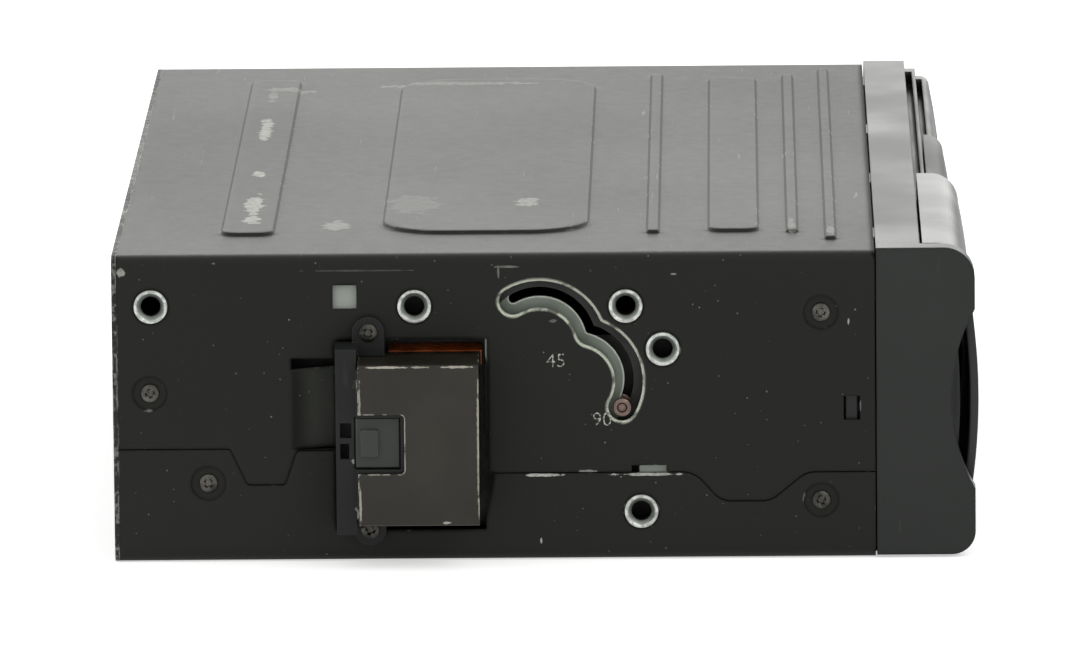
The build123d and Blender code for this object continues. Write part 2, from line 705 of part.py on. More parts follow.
def connector_shield():
    """Bent sheet guard: front, top, bottom and end returns, and a cut-out open to the rear."""
    shield = block(-SHIELD_PROUD, SHIELD_RETURN - SHIELD_PROUD, SHIELD_S0, SHIELD_S1, SHIELD_Z0, SHIELD_Z1)
    shield = fillet(shield.edges().filter_by(Axis.Y).group_by(Axis.X)[0], SHIELD_T)
    inside = SHIELD_T
    shield -= block(
        inside - SHIELD_PROUD, SHIELD_RETURN, SHIELD_S0 - 1, SHIELD_S1 - inside, SHIELD_Z0 + inside,
        SHIELD_Z1 - inside,
    )
    shield -= block(-SHIELD_PROUD + 4, SHIELD_RETURN, SHIELD_S0 - 1, SHIELD_S1 + 1, SHIELD_Z0 - 1, SHIELD_Z0 + 2)
    points = [
        (SHIELD_S0 - 1, CUTOUT_Z0), (CUTOUT_S1, CUTOUT_Z0), (CUTOUT_S1, CUTOUT_Z1),
        (SHIELD_S0 - 1, CUTOUT_Z1),
    ]
    return shield - slab(outline(points, [0, 0.9, 0.9, 0]), -SHIELD_PROUD - 1, inside - SHIELD_PROUD + 0.1)


def insulation_sheet():
    """Thin sheet lapped over the inner end of the guard's top, with a leg down its front end."""
    top = SHIELD_Z1 + FILM_GAP
    front = SHIELD_S1 + FILM_GAP
    w0 = SHIELD_RETURN - SHIELD_PROUD - FILM_LAP
    sheet = block(w0, HOUSING_DEEP + 1, EAR_S + 4.1, front + FILM_T, top, top + FILM_T)
    return sheet + block(w0, w0 + 2 * FILM_LAP, front, front + FILM_T, top - FILM_LEG, top)


def connector_screws():
    """Two screws through the housing's ears."""
    screws = []
    face = -EAR_T - 0.1
    for z in EAR_Z:
        screws.append(rod_x(face - HEAD_T, face, EAR_S, z, HEAD_R) + rod_x(face, SHANK_L + face, EAR_S, z, SHANK_R))
    return Compound(screws)


def pin_slot(s):
    """The upright slot in the frame's left wall that a lift pin runs in."""
    half = LIFT_PIN_R + FRAME_GAP
    low = LIFT_PIN_Z - LIFT_DOWN - half
    high = LIFT_PIN_Z + LIFT_UP + half
    return block(FRAME_W0 - 1, FRAME_W0 + FRAME_T + 1, s - half, s + half, low, high)


def mechanism_frame():
    """Suspended steel frame: floor plate, slotted left wall, right wall and spring studs."""
    frame = block(FRAME_W0, FRAME_W1, FRAME_S0, FRAME_S1, FRAME_Z0, FRAME_FLOOR)
    tongue = 2 * ROD_FOOT_R
    frame += block(
        LIFT_ROD_W - tongue, LIFT_ROD_W + tongue, FRAME_S1 - 2, LIFT_ROD_S[1] + ROD_FOOT_R + 0.5,
        FRAME_Z0, FRAME_FLOOR,
    )
    wall = block(FRAME_W0, FRAME_W0 + FRAME_T, FRAME_WALL_S0, FRAME_WALL_S1, FRAME_Z0, FRAME_TOP)
    for s in LIFT_PIN_S:
        wall -= pin_slot(s)
    for s0, s1, z0, z1 in ((43, 56, 50, FRAME_TOP - 1.1), (104, 121, 14, 25), (66, 122, 46, FRAME_TOP - 1.5)):
        wall -= block(FRAME_W0 - 1, FRAME_W0 + FRAME_T + 1, s0, s1, z0, z1)
    frame += wall
    frame += block(FRAME_W1 - FRAME_T, FRAME_W1, FRAME_WALL_S0, FRAME_WALL_S1, FRAME_Z0, SELECT_Z + 4)
    for w0, w1 in ((SPRING_W - 1, FRAME_W0), (FRAME_W1, CASE_W - SPRING_W + 1)):
        frame += rod_x(w0, w1, SELECT_S, SELECT_Z, SPRING_POST_R)
    frame += block(80, 110, FRAME_S0, FRAME_S0 + FRAME_T, FRAME_Z0, 30)
    for w, s in DAMPER_PLACES:
        frame -= rod_z(w, s, FRAME_Z0 - 1, FRAME_FLOOR + 1, DAMPER_STEM_R + 0.2)
    return frame


def oil_dampers():
    """Four damper cups between the chassis floor and the frame, each with its stem."""
    rim_r = 4 * DAMPER_STEM_R
    neck_r = 2 * DAMPER_STEM_R
    neck_z = FRAME_Z0 - SHEET - FRAME_GAP
    profile = [
        (0, 0), (rim_r, 0), (rim_r, 1), (neck_r, neck_z), (DAMPER_STEM_R, neck_z),
        (DAMPER_STEM_R, neck_z + 2.8), (0, neck_z + 2.8),
    ]
    cup = revolve(Plane.XZ * make_face(Polyline(*profile, close=True)), axis=Axis.Z)
    return Compound([Pos(x_at(w), y_at(s), SHEET + 0.05) * cup for w, s in DAMPER_PLACES])


def lift_rods():
    """Two upright rods that the deck rises on, each in its foot."""
    rods = []
    for s in LIFT_ROD_S:
        rod = rod_z(LIFT_ROD_W, s, FRAME_FLOOR, CEILING - ROD_HEADROOM, LIFT_ROD_R)
        rods.append(rod + rod_z(LIFT_ROD_W, s, FRAME_FLOOR, FRAME_FLOOR + 1.5, ROD_FOOT_R))
    return Compound(rods)


def lift_cam():
    """White slide beside the frame's left wall: its slanted slots raise and lower the deck."""
    shoulder = LIFT_PIN_Z + 5.5
    cam = block(CAM_W0, CAM_W0 + CAM_T, CAM_S0, CAM_S1, FRAME_FLOOR + FRAME_GAP, shoulder)
    cam += block(CAM_W0, CAM_W0 + CAM_T, CAM_S0 + 1, CAM_S0 + 13, shoulder, FRAME_TOP - 1.5)
    for s in LIFT_PIN_S:
        low = (y_at(s) - LIFT_DOWN, LIFT_PIN_Z - LIFT_DOWN)
        high = (y_at(s) + LIFT_UP, LIFT_PIN_Z + LIFT_UP)
        slot = SlotCenterToCenter((LIFT_DOWN + LIFT_UP) * 2 ** 0.5, 2 * (LIFT_PIN_R + 0.15))
        middle = ((low[0] + high[0]) / 2, (low[1] + high[1]) / 2, 0)
        cam -= slab(Pos(*middle) * Rot(0, 0, 45) * slot, CAM_W0 - 1, CAM_W0 + CAM_T + 1)
    return cam


def play_deck():
    """Steel deck: plate with the pickup's opening, left flange with lift pins, rod bushes."""
    deck = block(DECK_W0, DECK_W1, DECK_S0, DECK_S1, DECK_Z, DECK_Z + DECK_T)
    rear, fore, drop = LIFT_FLANGE
    deck += block(
        DECK_W0, DECK_W0 + DECK_T, LIFT_PIN_S[0] - rear, LIFT_PIN_S[1] + fore, LIFT_PIN_Z - drop, DECK_Z
    )
    for s in LIFT_PIN_S:
        deck += rod_x(FRAME_W0 + 0.1, DECK_W0 + 0.5, s, LIFT_PIN_Z, LIFT_PIN_R)
    ear_w0 = DECK_CENTRE_W - EAR_HALF - ARM_EAR_T - 1
    ear_w1 = LIFT_ROD_W + BUSH_R + 1.6
    ear_s0 = LIFT_ROD_S[0] - BUSH_R - 1.1
    ear_s1 = LIFT_ROD_S[1] + BUSH_R + 0.6
    deck += block(ear_w0, ear_w1, ear_s0, DECK_S0, DECK_Z, DECK_Z + DECK_T)
    deck += block(2 * LIFT_ROD_W - ear_w1, ear_w1, DECK_S1, ear_s1, DECK_Z, DECK_Z + DECK_T)
    open_w0 = LEAD_W - 2.5
    open_w1 = GUIDE_W[1] + 5
    deck -= block(open_w0, open_w1, OPEN_S0, OPEN_S1, DECK_Z - 1, DECK_Z + 3)
    deck -= rod_z(DECK_CENTRE_W, DISC_S, DECK_Z - 1, DECK_Z + 3, 3)
    for s0, s1 in ((DECK_S0, OPEN_S0), (OPEN_S1, CROSS_S1)):
        cross = block(open_w0 - 1, open_w1 + 1, s0, s1, CARRIAGE_Z - CARRIAGE_DROP, DECK_Z)
        for w in GUIDE_W:
            cross -= rod_y(w, s0 - 1, s1 + 1, CARRIAGE_Z, GUIDE_R + 0.02)
        deck += cross - rod_y(LEAD_W, s0 - 1, s1 + 1, CARRIAGE_Z, SCREW_R + RUN_FIT)
    for s in LIFT_ROD_S:
        deck += rod_z(LIFT_ROD_W, s, DECK_Z - 3, DECK_Z + 4, BUSH_R)
        deck -= rod_z(LIFT_ROD_W, s, DECK_Z - 5, DECK_Z + 6, LIFT_ROD_R + RUN_FIT)
    for w in (DECK_CENTRE_W - EAR_HALF - ARM_EAR_T, DECK_CENTRE_W + EAR_HALF):
        deck += block(w, w + ARM_EAR_T, ARM_PIVOT_S - 4, DECK_S0, DECK_Z, ARM_PIVOT_Z + 3)
    span = EAR_HALF + ARM_EAR_T
    return deck + rod_x(DECK_CENTRE_W - span, DECK_CENTRE_W + span, ARM_PIVOT_S, ARM_PIVOT_Z, STUD_R)


def spindle_motor():
    """Flat motor under the deck that turns the disc."""
    motor = rod_z(DECK_CENTRE_W, DISC_S, DECK_Z - SPINDLE_DROP, DECK_Z - 0.05, SPINDLE_R)
    return motor + rod_z(DECK_CENTRE_W, DISC_S, DECK_Z - 0.05, DECK_Z + SEAT_RISE - 0.1, 2.0)


def turntable():
    """Disc seat with its centring cone."""
    profile = [(0, 0), *SEAT_SECTION, (0, SEAT_SECTION[-1][1])]
    seat = revolve(Plane.XZ * make_face(Polyline(*profile, close=True)), axis=Axis.Z)
    return Pos(x_at(DECK_CENTRE_W), y_at(DISC_S), DECK_Z + SEAT_RISE) * seat


def pickup():
    """Optical block on its two rods, with the lens and the nut arm on the lead screw."""
    low = CARRIAGE_Z - CARRIAGE_DROP
    high = CARRIAGE_Z + CARRIAGE_RISE
    s0 = PICKUP_S - PICKUP_HALF
    s1 = PICKUP_S + PICKUP_HALF
    body = block(GUIDE_W[0] - 4, GUIDE_W[1] + 4, s0, s1, low, high)
    body += block(LEAD_W - 2.1, GUIDE_W[0] - 4, PICKUP_S - 4, PICKUP_S + 4, low + 0.3, CARRIAGE_Z + 2)
    body += rod_z(DECK_CENTRE_W, PICKUP_S, high, high + 1, 2.5)
    for w in GUIDE_W:
        body -= rod_y(w, s0 - 1, s1 + 1, CARRIAGE_Z, GUIDE_R + RUN_FIT)
    return body - rod_y(LEAD_W, s0 - 1, s1 + 1, CARRIAGE_Z, SCREW_R + RUN_FIT)


def pickup_rods():
    """The two round rods that the carriage runs on."""
    return Compound([rod_y(w, DECK_S0, CROSS_S1, CARRIAGE_Z, GUIDE_R) for w in GUIDE_W])


def lead_screw():
    """The screw that moves the carriage, between the deck's cross walls."""
    return rod_y(LEAD_W, DECK_S0 + 0.2, CROSS_S1 - 0.1, CARRIAGE_Z, SCREW_R)


def clamp_arm():
    """Arm over the disc, turning on the deck's rear ears, with a seat for the clamper."""
    under = ARM_TOP - ARM_T
    w0 = DECK_CENTRE_W - ARM_HALF
    w1 = DECK_CENTRE_W + ARM_HALF
    rear = ARM_PIVOT_S - 3
    plate = block(w0, w1, rear, DISC_S + 9, under, ARM_TOP)
    plate += rod_z(DECK_CENTRE_W, DISC_S, under, ARM_TOP, CLAMPER_R - 1)
    for w in (w0, w1 - ARM_T):
        plate += block(w, w + ARM_T, rear, DISC_S + 1, CLAMPER_Z + 0.2, ARM_TOP)
    plate -= block(w0 - 1, w1 + 1, ARM_PIVOT_S + 7.5, DISC_S + 3, CLAMPER_Z - 1, under - 0.1)
    plate -= rod_z(DECK_CENTRE_W, DISC_S, CLAMPER_Z, ARM_TOP + 1, CLAMPER_NECK_R + 0.3)
    return plate - rod_x(w0 - 1, w1 + 1, ARM_PIVOT_S, ARM_PIVOT_Z, STUD_R + RUN_FIT)


def clamper():
    """Free-turning disc clamp hung in the arm."""
    neck_z = 2.6
    cap_z = ARM_TOP - CLAMPER_Z + 0.3
    profile = [
        (0, 0), (CLAMPER_R, 0), (CLAMPER_R, neck_z), (CLAMPER_NECK_R, neck_z), (CLAMPER_NECK_R, cap_z),
        (CLAMPER_NECK_R + 2.5, cap_z), (CLAMPER_NECK_R + 2.5, cap_z + 1), (0, cap_z + 1),
    ]
    disc = revolve(Plane.XZ * make_face(Polyline(*profile, close=True)), axis=Axis.Z)
    return Pos(x_at(DECK_CENTRE_W), y_at(DISC_S), CLAMPER_Z) * disc


def magazine_tray(number):
    """One disc tray: shallow round recess, and an opening for the turntable and the pickup."""
    z = TRAY_Z[number]
    half = TRAY_SIZE / 2
    tray = block(MAG_CENTRE_W - half, MAG_CENTRE_W + half, TRAY_S0, TRAY_S1, z, z + TRAY_T)
    tray = fillet(tray.edges().filter_by(Axis.Z), 4)
    tray -= rod_z(MAG_CENTRE_W, DISC_S, z + 0.8, z + 3, DISC_R + 0.4)
    tray -= rod_z(MAG_CENTRE_W, DISC_S, z - 1, z + 3, TRAY_HUB_R)
    slot = TRAY_SLOT_W / 2
    return tray - block(MAG_CENTRE_W - slot, MAG_CENTRE_W + slot, TRAY_S0 + 2, DISC_S, z - 1, z + 3)


def magazine_case():
    """Slide-in magazine: floor, roof, right and rear walls, front grip, and a shelf per tray."""
    case = block(MAG_W0, MAG_W1, MAG_S0, MAG_S1, MAG_Z0, MAG_Z1)
    inside_s0 = TRAY_S0 - TRAY_SIDE_GAP
    inside_s1 = TRAY_S1 + TRAY_SIDE_GAP
    case -= block(MAG_W0 - 1, MAG_W1 - MAG_WALL, inside_s0, inside_s1, MAG_Z0 + MAG_WALL, MAG_Z1 - MAG_WALL)
    for z in TRAY_Z[1:]:
        for s0, s1 in ((inside_s0, inside_s0 + SHELF_REACH), (inside_s1 - SHELF_REACH, inside_s1)):
            case += block(MAG_W0, MAG_W1 - MAG_WALL, s0, s1, z - TRAY_GAP - SHELF_T, z - TRAY_GAP)
    grip = block(MAG_W0 + 20, MAG_W1 - 20, MAG_S1 - 4, MAG_S1 + 1, MAG_Z0 + 9, MAG_Z1 - 9)
    return case - grip


def magazine_cradle():
    """Shelf and side guide that the magazine slides in, standing on the frame."""
    base = CRADLE_TOP - CRADLE_T
    s0 = MAG_S0 - 0.6
    s1 = CASE_L - 2
    cradle = block(MAG_W0 - 0.8, CRADLE_W1, s0, s1, base, CRADLE_TOP)
    cradle += block(CRADLE_W1 - CRADLE_WALL, CRADLE_W1, s0, s1, base, MAG_Z1 + 3.4)
    for w in (MAG_W0, MAG_W1 - 24):
        for s in (s0 + 5, s1 - 18):
            cradle += block(w, w + 6, s, s + 6, FRAME_FLOOR, base)
    cradle += block(
        CRADLE_W1, BUTTON_W1 + 1, SPRING_SEAT_S - 1.4, SPRING_SEAT_S, BUTTON_Z0 + 1, BUTTON_Z1 - 1
    )
    return cradle


def button_spring():
    """Return spring behind the eject button."""
    spring = coil(BUTTON_SPRING_R, BUTTON_SPRING_L, 4, SPRING_WIRE_R)
    middle = (BUTTON_W0 + BUTTON_W1) / 2
    place = Pos(x_at(middle), y_at(SPRING_SEAT_S + 0.5), (BUTTON_Z0 + BUTTON_Z1) / 2)
    return place * Rot(90, 0, 0) * spring


def eject_link():
    """Push bar from the eject button back to the magazine's catch."""
    w0 = BUTTON_W0 + 0.3
    high = SELECT_Z - LINK_DROP
    low = high - LINK_H
    link = block(w0, w0 + LINK_T, LINK_S0, BUTTON_S0, low, high)
    return link + block(w0, w0 + LINK_T + 1.1, BUTTON_S0 - 4, BUTTON_S0, low, BUTTON_Z0 + 2)


def lift_motor():
    """Motor that drives the lift slide, lying on the frame's floor."""
    z = FRAME_FLOOR + MOTOR_R + 0.2
    can = rod_y(MOTOR_W, FRAME_S0 + 0.5, FRAME_S0 + 13, z, MOTOR_R)
    return can + rod_y(MOTOR_W, FRAME_S0 + 13, FRAME_S0 + 17, z, 2)


def sled_motor():
    """Flat-sided motor that turns the lead screw."""
    end = CROSS_S1 + 16
    can = block(LEAD_W - 5, LEAD_W + 5, CROSS_S1, end, CARRIAGE_Z - 2.6, DECK_Z)
    return can + rod_y(LEAD_W, end, end + 1, CARRIAGE_Z, 1.5)


def main_board():
    """Circuit board under the mechanism, on four stand-offs."""
    board = block(BOARD_W0, CASE_W - BOARD_W0, BOARD_S0, CASE_L - BOARD_S0, BOARD_Z, BOARD_Z + BOARD_T)
    for w in (BOARD_W0 + 6, CASE_W - BOARD_W0 - 6):
        for s in (BOARD_S0 + 8, CASE_L - BOARD_S0 - 8):
            board += rod_z(w, s, SHEET, BOARD_Z, 2.5)
    return board


def board_parts():
    """Chips and small parts on the board."""
    top = BOARD_Z + BOARD_T
    return Compound([block(w, w + a, s, s + b, top, top + 1.2) for w, s, a, b in CHIPS])


def write_parts():
    """Builds every piece and writes it to its own file."""
    nuts = mount_nuts()
    screws = cover_screws()
    bracket = side_bracket()
    pin = selector()
    spring = suspension_spring()
    pieces = {
        "bottom_chassis": bottom_chassis(),
        "top_cover": top_cover(),
        "rear_plate": rear_plate(),
        "front_bezel": front_bezel(),
        "outer_door": door(OUTER_DOOR_W0, OUTER_DOOR_W, OUTER_INSET, OUTER_SKIN, GROOVE_1 + LIP_GAP + 0.2),
        "inner_door": door(INNER_DOOR_W0, INNER_DOOR_W, INNER_INSET, INNER_SKIN, GROOVE_2 + LIP_GAP),
        "mount_nuts_left": nuts,
        "mount_nuts_right": right_hand(nuts),
        "cover_screws_left": screws,
        "cover_screws_right": right_hand(screws),
        "side_bracket_left": bracket,
        "side_bracket_right": right_hand(bracket),
        "selector_left": pin,
        "selector_right": right_hand(pin),
        "suspension_spring_left": spring,
        "suspension_spring_right": right_hand(spring),
        "connector_housing": connector_housing(),
        "connector_latch": connector_latch(),
        "connector_shield": connector_shield(),
        "insulation_sheet": insulation_sheet(),
        "connector_screws": connector_screws(),
        "mechanism_frame": mechanism_frame(),
        "oil_dampers": oil_dampers(),
        "lift_rods": lift_rods(),
        "lift_cam": lift_cam(),
        "lift_motor": lift_motor(),
        "play_deck": play_deck(),
        "spindle_motor": spindle_motor(),
        "turntable": turntable(),
        "pickup": pickup(),
        "pickup_rods": pickup_rods(),
        "lead_screw": lead_screw(),
        "sled_motor": sled_motor(),
        "clamp_arm": clamp_arm(),
        "clamper": clamper(),
        "magazine_case": magazine_case(),
        "magazine_cradle": magazine_cradle(),
        "eject_button": button_solid(0, 0),
        "eject_link": eject_link(),
        "button_spring": button_spring(),
        "main_board": main_board(),
        "board_parts": board_parts(),
    }
    for number in range(TRAYS):
        pieces[f"tray_{number + 1}"] = magazine_tray(number)
    for name, shape in pieces.items():
        export_step(shape, f"parts/{name}.step")


write_parts()
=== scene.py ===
"""Dresses a boot-mounted disc changer: worn paint, mouldings, plated bushes, screws and a side socket."""

import json
import logging
from dataclasses import dataclass
from enum import Enum
from math import cos, pi, radians, sin
from typing import Optional, Protocol, Sequence

import bmesh
import bpy
from mathutils import Matrix, Vector

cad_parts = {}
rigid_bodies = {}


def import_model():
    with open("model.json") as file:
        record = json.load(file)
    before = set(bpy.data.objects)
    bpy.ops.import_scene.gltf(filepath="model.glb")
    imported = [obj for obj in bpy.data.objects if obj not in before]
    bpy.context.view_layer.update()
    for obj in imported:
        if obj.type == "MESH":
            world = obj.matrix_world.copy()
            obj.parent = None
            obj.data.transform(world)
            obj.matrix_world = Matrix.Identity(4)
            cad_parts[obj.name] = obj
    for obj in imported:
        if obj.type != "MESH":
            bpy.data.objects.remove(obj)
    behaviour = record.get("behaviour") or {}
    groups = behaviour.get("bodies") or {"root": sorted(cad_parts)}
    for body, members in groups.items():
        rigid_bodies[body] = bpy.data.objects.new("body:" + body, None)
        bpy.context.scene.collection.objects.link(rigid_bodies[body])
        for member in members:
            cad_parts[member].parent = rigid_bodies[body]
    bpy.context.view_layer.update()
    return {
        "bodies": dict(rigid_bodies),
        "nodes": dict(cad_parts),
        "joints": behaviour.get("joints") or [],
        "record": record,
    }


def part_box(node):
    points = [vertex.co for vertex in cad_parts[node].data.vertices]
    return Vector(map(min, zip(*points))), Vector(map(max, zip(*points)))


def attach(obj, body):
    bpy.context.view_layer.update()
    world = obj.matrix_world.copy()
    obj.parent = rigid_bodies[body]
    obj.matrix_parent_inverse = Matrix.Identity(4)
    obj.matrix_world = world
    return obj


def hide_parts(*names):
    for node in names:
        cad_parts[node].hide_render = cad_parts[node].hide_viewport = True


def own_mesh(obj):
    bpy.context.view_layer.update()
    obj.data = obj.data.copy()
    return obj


log = logging.getLogger("changer")

MM = 0.001
BEVEL_SAMPLES = 6
MIX_A, MIX_B, MIX_COLOUR = 6, 7, 2  # the mix node's two colour inputs and its colour output
FRAY, SPREAD, FADE = 1.9, 1.75, 0.18  # how far a blot of wear frays, spreads and fades

Socket = bpy.types.NodeSocket
Axes = tuple[Socket, Socket, Socket]
Mesh = bmesh.types.BMesh
Material = bpy.types.Material
Pair = tuple[float, float]
Point = tuple[float, float, float]
Colour = tuple[float, float, float]


class Side(Enum):
    """A side wall of the case."""

    LEFT = "left"
    RIGHT = "right"


# ---- measuring


@dataclass(frozen=True)
class Bench:
    """Turns bench measures into row places: w right of the left wall, s forward of the rear, z up, in mm."""

    left: float
    right: float
    rear: float

    @classmethod
    def from_frame(cls) -> "Bench":
        """Reads the case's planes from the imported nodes."""
        low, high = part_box("rear_plate")
        return cls(left=low[0], right=high[0], rear=high[1])

    def at(self, w: float, s: float, z: float) -> Vector:
        """The row place, in metres, of a bench place in millimetres."""
        return Vector((self.left + w * MM, self.rear - s * MM, z * MM))

    def side(self, side: Side, w: float, s: float, z: float) -> Vector:
        """A place measured in from either side wall.

        Args:
            side: The wall that w is measured from.
            w: Depth behind that wall's outer face, in mm.
            s: Distance forward of the rear plate, in mm.
            z: Height, in mm.

        Returns:
            The row place, in metres.
        """
        place = self.at(w, s, z)
        if side is Side.RIGHT:
            place.x = self.right - w * MM
        return place


# ---- node graphs


class Graph:
    """A material's node tree, with short ways to add and join nodes."""

    def __init__(self, name: str) -> None:
        """Starts an empty material with an output and a principled shader.

        Args:
            name: The material's name.
        """
        self.material = bpy.data.materials.new(name)
        self.material.use_nodes = True
        self.tree = self.material.node_tree
        self.tree.nodes.clear()
        self.shader = self.add("BsdfPrincipled")
        out = self.add("OutputMaterial")
        self.tree.links.new(self.shader.outputs[0], out.inputs[0])
        self.place = self.add("TexCoord").outputs["Object"]

    def add(self, kind: str) -> bpy.types.Node:
        """Adds a shader node."""
        return self.tree.nodes.new(f"ShaderNode{kind}")

    def feed(self, socket: Socket, value: object) -> None:
        """Links a socket, or sets its default where the value is plain.

        Args:
            socket: The input that is fed.
            value: An output socket, a number, a colour or a vector.
        """
        if isinstance(value, bpy.types.NodeSocket):
            self.tree.links.new(value, socket)
        elif isinstance(value, tuple) and socket.type == "RGBA":
            socket.default_value = (*value, 1.0)
        else:
            socket.default_value = value

    def set(self, **values: object) -> None:
        """Sets the shader's sockets by name, with underscores for spaces."""
        for name, value in values.items():
            self.feed(self.shader.inputs[name.replace("_", " ")], value)

    def math(self, kind: str, a: object, b: object = 0.0, c: object = 0.0, clamp: bool = False) -> Socket:
        """Adds a maths node.

        Args:
            kind: Its operation.
            a: First value, a number or a socket.
            b: Second value.
            c: Third value.
            clamp: Whether the result is held from 0 to 1.

        Returns:
            Its result.
        """
        node = self.add("Math")
        node.operation = kind
        node.use_clamp = clamp
        for socket, value in zip(node.inputs, (a, b, c)):
            self.feed(socket, value)
        return node.outputs[0]

    def times(self, a: object, b: object) -> Socket:
        """One value multiplied by another."""
        return self.math("MULTIPLY", a, b)

    def noise(self, scale: float, detail: float = 3.0, stretch: Point = (1.0, 1.0, 1.0),
              roughness: float = 0.5, distortion: float = 0.0) -> Socket:
        """Fractal noise over the object's own place.

        Args:
            scale: Features to a metre.
            detail: Octaves.
            stretch: How the place is scaled along each axis first.
            roughness: Share of each finer octave.
            distortion: How far the noise is folded.

        Returns:
            The noise's factor socket, about 0.5 on average.
        """
        node = self.add("TexNoise")
        self.feed(node.inputs["Vector"], self.stretched(stretch))
        self.feed(node.inputs["Scale"], scale)
        self.feed(node.inputs["Detail"], detail)
        self.feed(node.inputs["Roughness"], roughness)
        self.feed(node.inputs["Distortion"], distortion)
        return node.outputs["Fac"]

    def stretched(self, stretch: Point) -> Socket:
        """Scales the object's place.

        Args:
            stretch: The scale along each axis.

        Returns:
            The scaled place.
        """
        node = self.add("Mapping")
        self.feed(node.inputs["Vector"], self.place)
        node.inputs["Scale"].default_value = stretch
        return node.outputs[0]

    def ramp(self, value: Socket, low: float, high: float, to: Pair = (0.0, 1.0)) -> Socket:
        """Maps low..high to the given ends, smoothly and held at both.

        Args:
            value: What is mapped.
            low: The value that gives the first end.
            high: The value that gives the second end.
            to: The two ends.

        Returns:
            The mapped value.
        """
        node = self.add("MapRange")
        node.interpolation_type = "SMOOTHSTEP"
        for name, number in (("From Min", low), ("From Max", high), ("To Min", to[0]), ("To Max", to[1])):
            node.inputs[name].default_value = number
        self.feed(node.inputs["Value"], value)
        return node.outputs[0]

    def cloud(self, scale: float, low: float, high: float) -> Socket:
        """Soft patches that run from one value to another."""
        return self.ramp(self.noise(scale), 0.3, 0.7, (low, high))

    def blend(self, share: object, a: object, b: object) -> Socket:
        """Mixes two colours.

        Args:
            share: 0 for the first colour to 1 for the second.
            a: First colour, plain or a socket.
            b: Second colour.

        Returns:
            The mixed colour.
        """
        node = self.add("Mix")
        node.data_type = "RGBA"
        self.feed(node.inputs["Factor"], share)
        self.feed(node.inputs[MIX_A], a)
        self.feed(node.inputs[MIX_B], b)
        return node.outputs[MIX_COLOUR]

    def split(self, vector: Socket) -> Axes:
        """Splits a vector.

        Args:
            vector: What is split.

        Returns:
            Its X, Y and Z.
        """
        node = self.add("SeparateXYZ")
        self.feed(node.inputs[0], vector)
        return node.outputs[0], node.outputs[1], node.outputs[2]

    def axes(self) -> Axes:
        """The place's X, Y and Z."""
        return self.split(self.place)

    def facing(self) -> Axes:
        """The true normal's X, Y and Z."""
        return self.split(self.add("NewGeometry").outputs["True Normal"])

    def rounded(self, radius: object) -> Socket:
        """Rounds the normal at sharp edges.

        Args:
            radius: How far, in metres; a number or a socket.

        Returns:
            The rounded normal.
        """
        node = self.add("Bevel")
        node.samples = BEVEL_SAMPLES
        self.feed(node.inputs["Radius"], radius)
        return node.outputs[0]

    def edges(self, radius: float, fade: Pair = (0.985, 0.86)) -> Socket:
        """Finds sharp edges by how far the rounded normal bends.

        Args:
            radius: Reach from the edge, in metres.
            fade: Cosines of the bend that give 0 and 1.

        Returns:
            1 on an edge, 0 away from it.
        """
        geometry = self.add("NewGeometry")
        dot = self.add("VectorMath")
        dot.operation = "DOT_PRODUCT"
        self.feed(dot.inputs[0], self.rounded(radius))
        self.feed(dot.inputs[1], geometry.outputs["Normal"])
        return self.ramp(dot.outputs["Value"], *fade)

    def outside(self, bench: Bench) -> Socket:
        """Measures how far a place is proud of the nearer side wall.

        Args:
            bench: The case's planes.

        Returns:
            Metres; less than 0 inside the case.
        """
        half = (bench.right - bench.left) / 2
        off = self.math("SUBTRACT", self.axes()[0], (bench.right + bench.left) / 2)
        return self.math("SUBTRACT", self.math("ABSOLUTE", off), half)

    def around(self, middle: Vector) -> Socket:
        """Measures the distance from an axis that runs across the case.

        Args:
            middle: A place on the axis.

        Returns:
            Metres.
        """
        _, y, z = self.axes()
        along = self.math("SUBTRACT", y, middle.y)
        up = self.math("SUBTRACT", z, middle.z)
        return self.math("SQRT", self.math("MULTIPLY_ADD", along, along, self.times(up, up)))

    def relief(self, height: object, depth: float, soften: object = None) -> None:
        """Bumps the shader's normal.

        Args:
            height: The relief, 0 to 1.
            depth: How deep a change of 1 is, in metres.
            soften: Radius over which sharp edges are rounded in the shading, in metres.
        """
        bump = self.add("Bump")
        bump.inputs["Distance"].default_value = depth
        bump.inputs["Strength"].default_value = 1.0
        self.feed(bump.inputs["Height"], height)
        if soften is not None:
            self.feed(bump.inputs["Normal"], self.rounded(soften))
        self.set(Normal=bump.outputs[0])

    def blot(self, bench: Bench, wear: "Wear", ragged: Socket) -> Socket:
        """A ragged blot of wear.

        Args:
            bench: The case's planes.
            wear: The blot's middle, reach and strength.
            ragged: Noise that frays its edge.

        Returns:
            The blot's strength inside, 0 outside.
        """
        node = self.add("Mapping")
        node.vector_type = "TEXTURE"
        self.feed(node.inputs["Vector"], self.place)
        node.inputs["Location"].default_value = bench.at(*wear.middle)
        node.inputs["Scale"].default_value = [half * MM for half in wear.reach]
        length = self.add("VectorMath")
        length.operation = "LENGTH"
        self.feed(length.inputs[0], node.outputs[0])
        reach = self.math("MULTIPLY_ADD", ragged, -FRAY, SPREAD)
        inside = self.math("SUBTRACT", reach, length.outputs["Value"])
        return self.ramp(inside, 0.0, FADE, (0.0, wear.strength))


# ---- finishes


@dataclass(frozen=True)
class Wear:
    """A ragged blot of wear: its middle on the bench and its half sizes, in mm, and its strength."""

    middle: Point
    reach: Point
    strength: float = 0.8


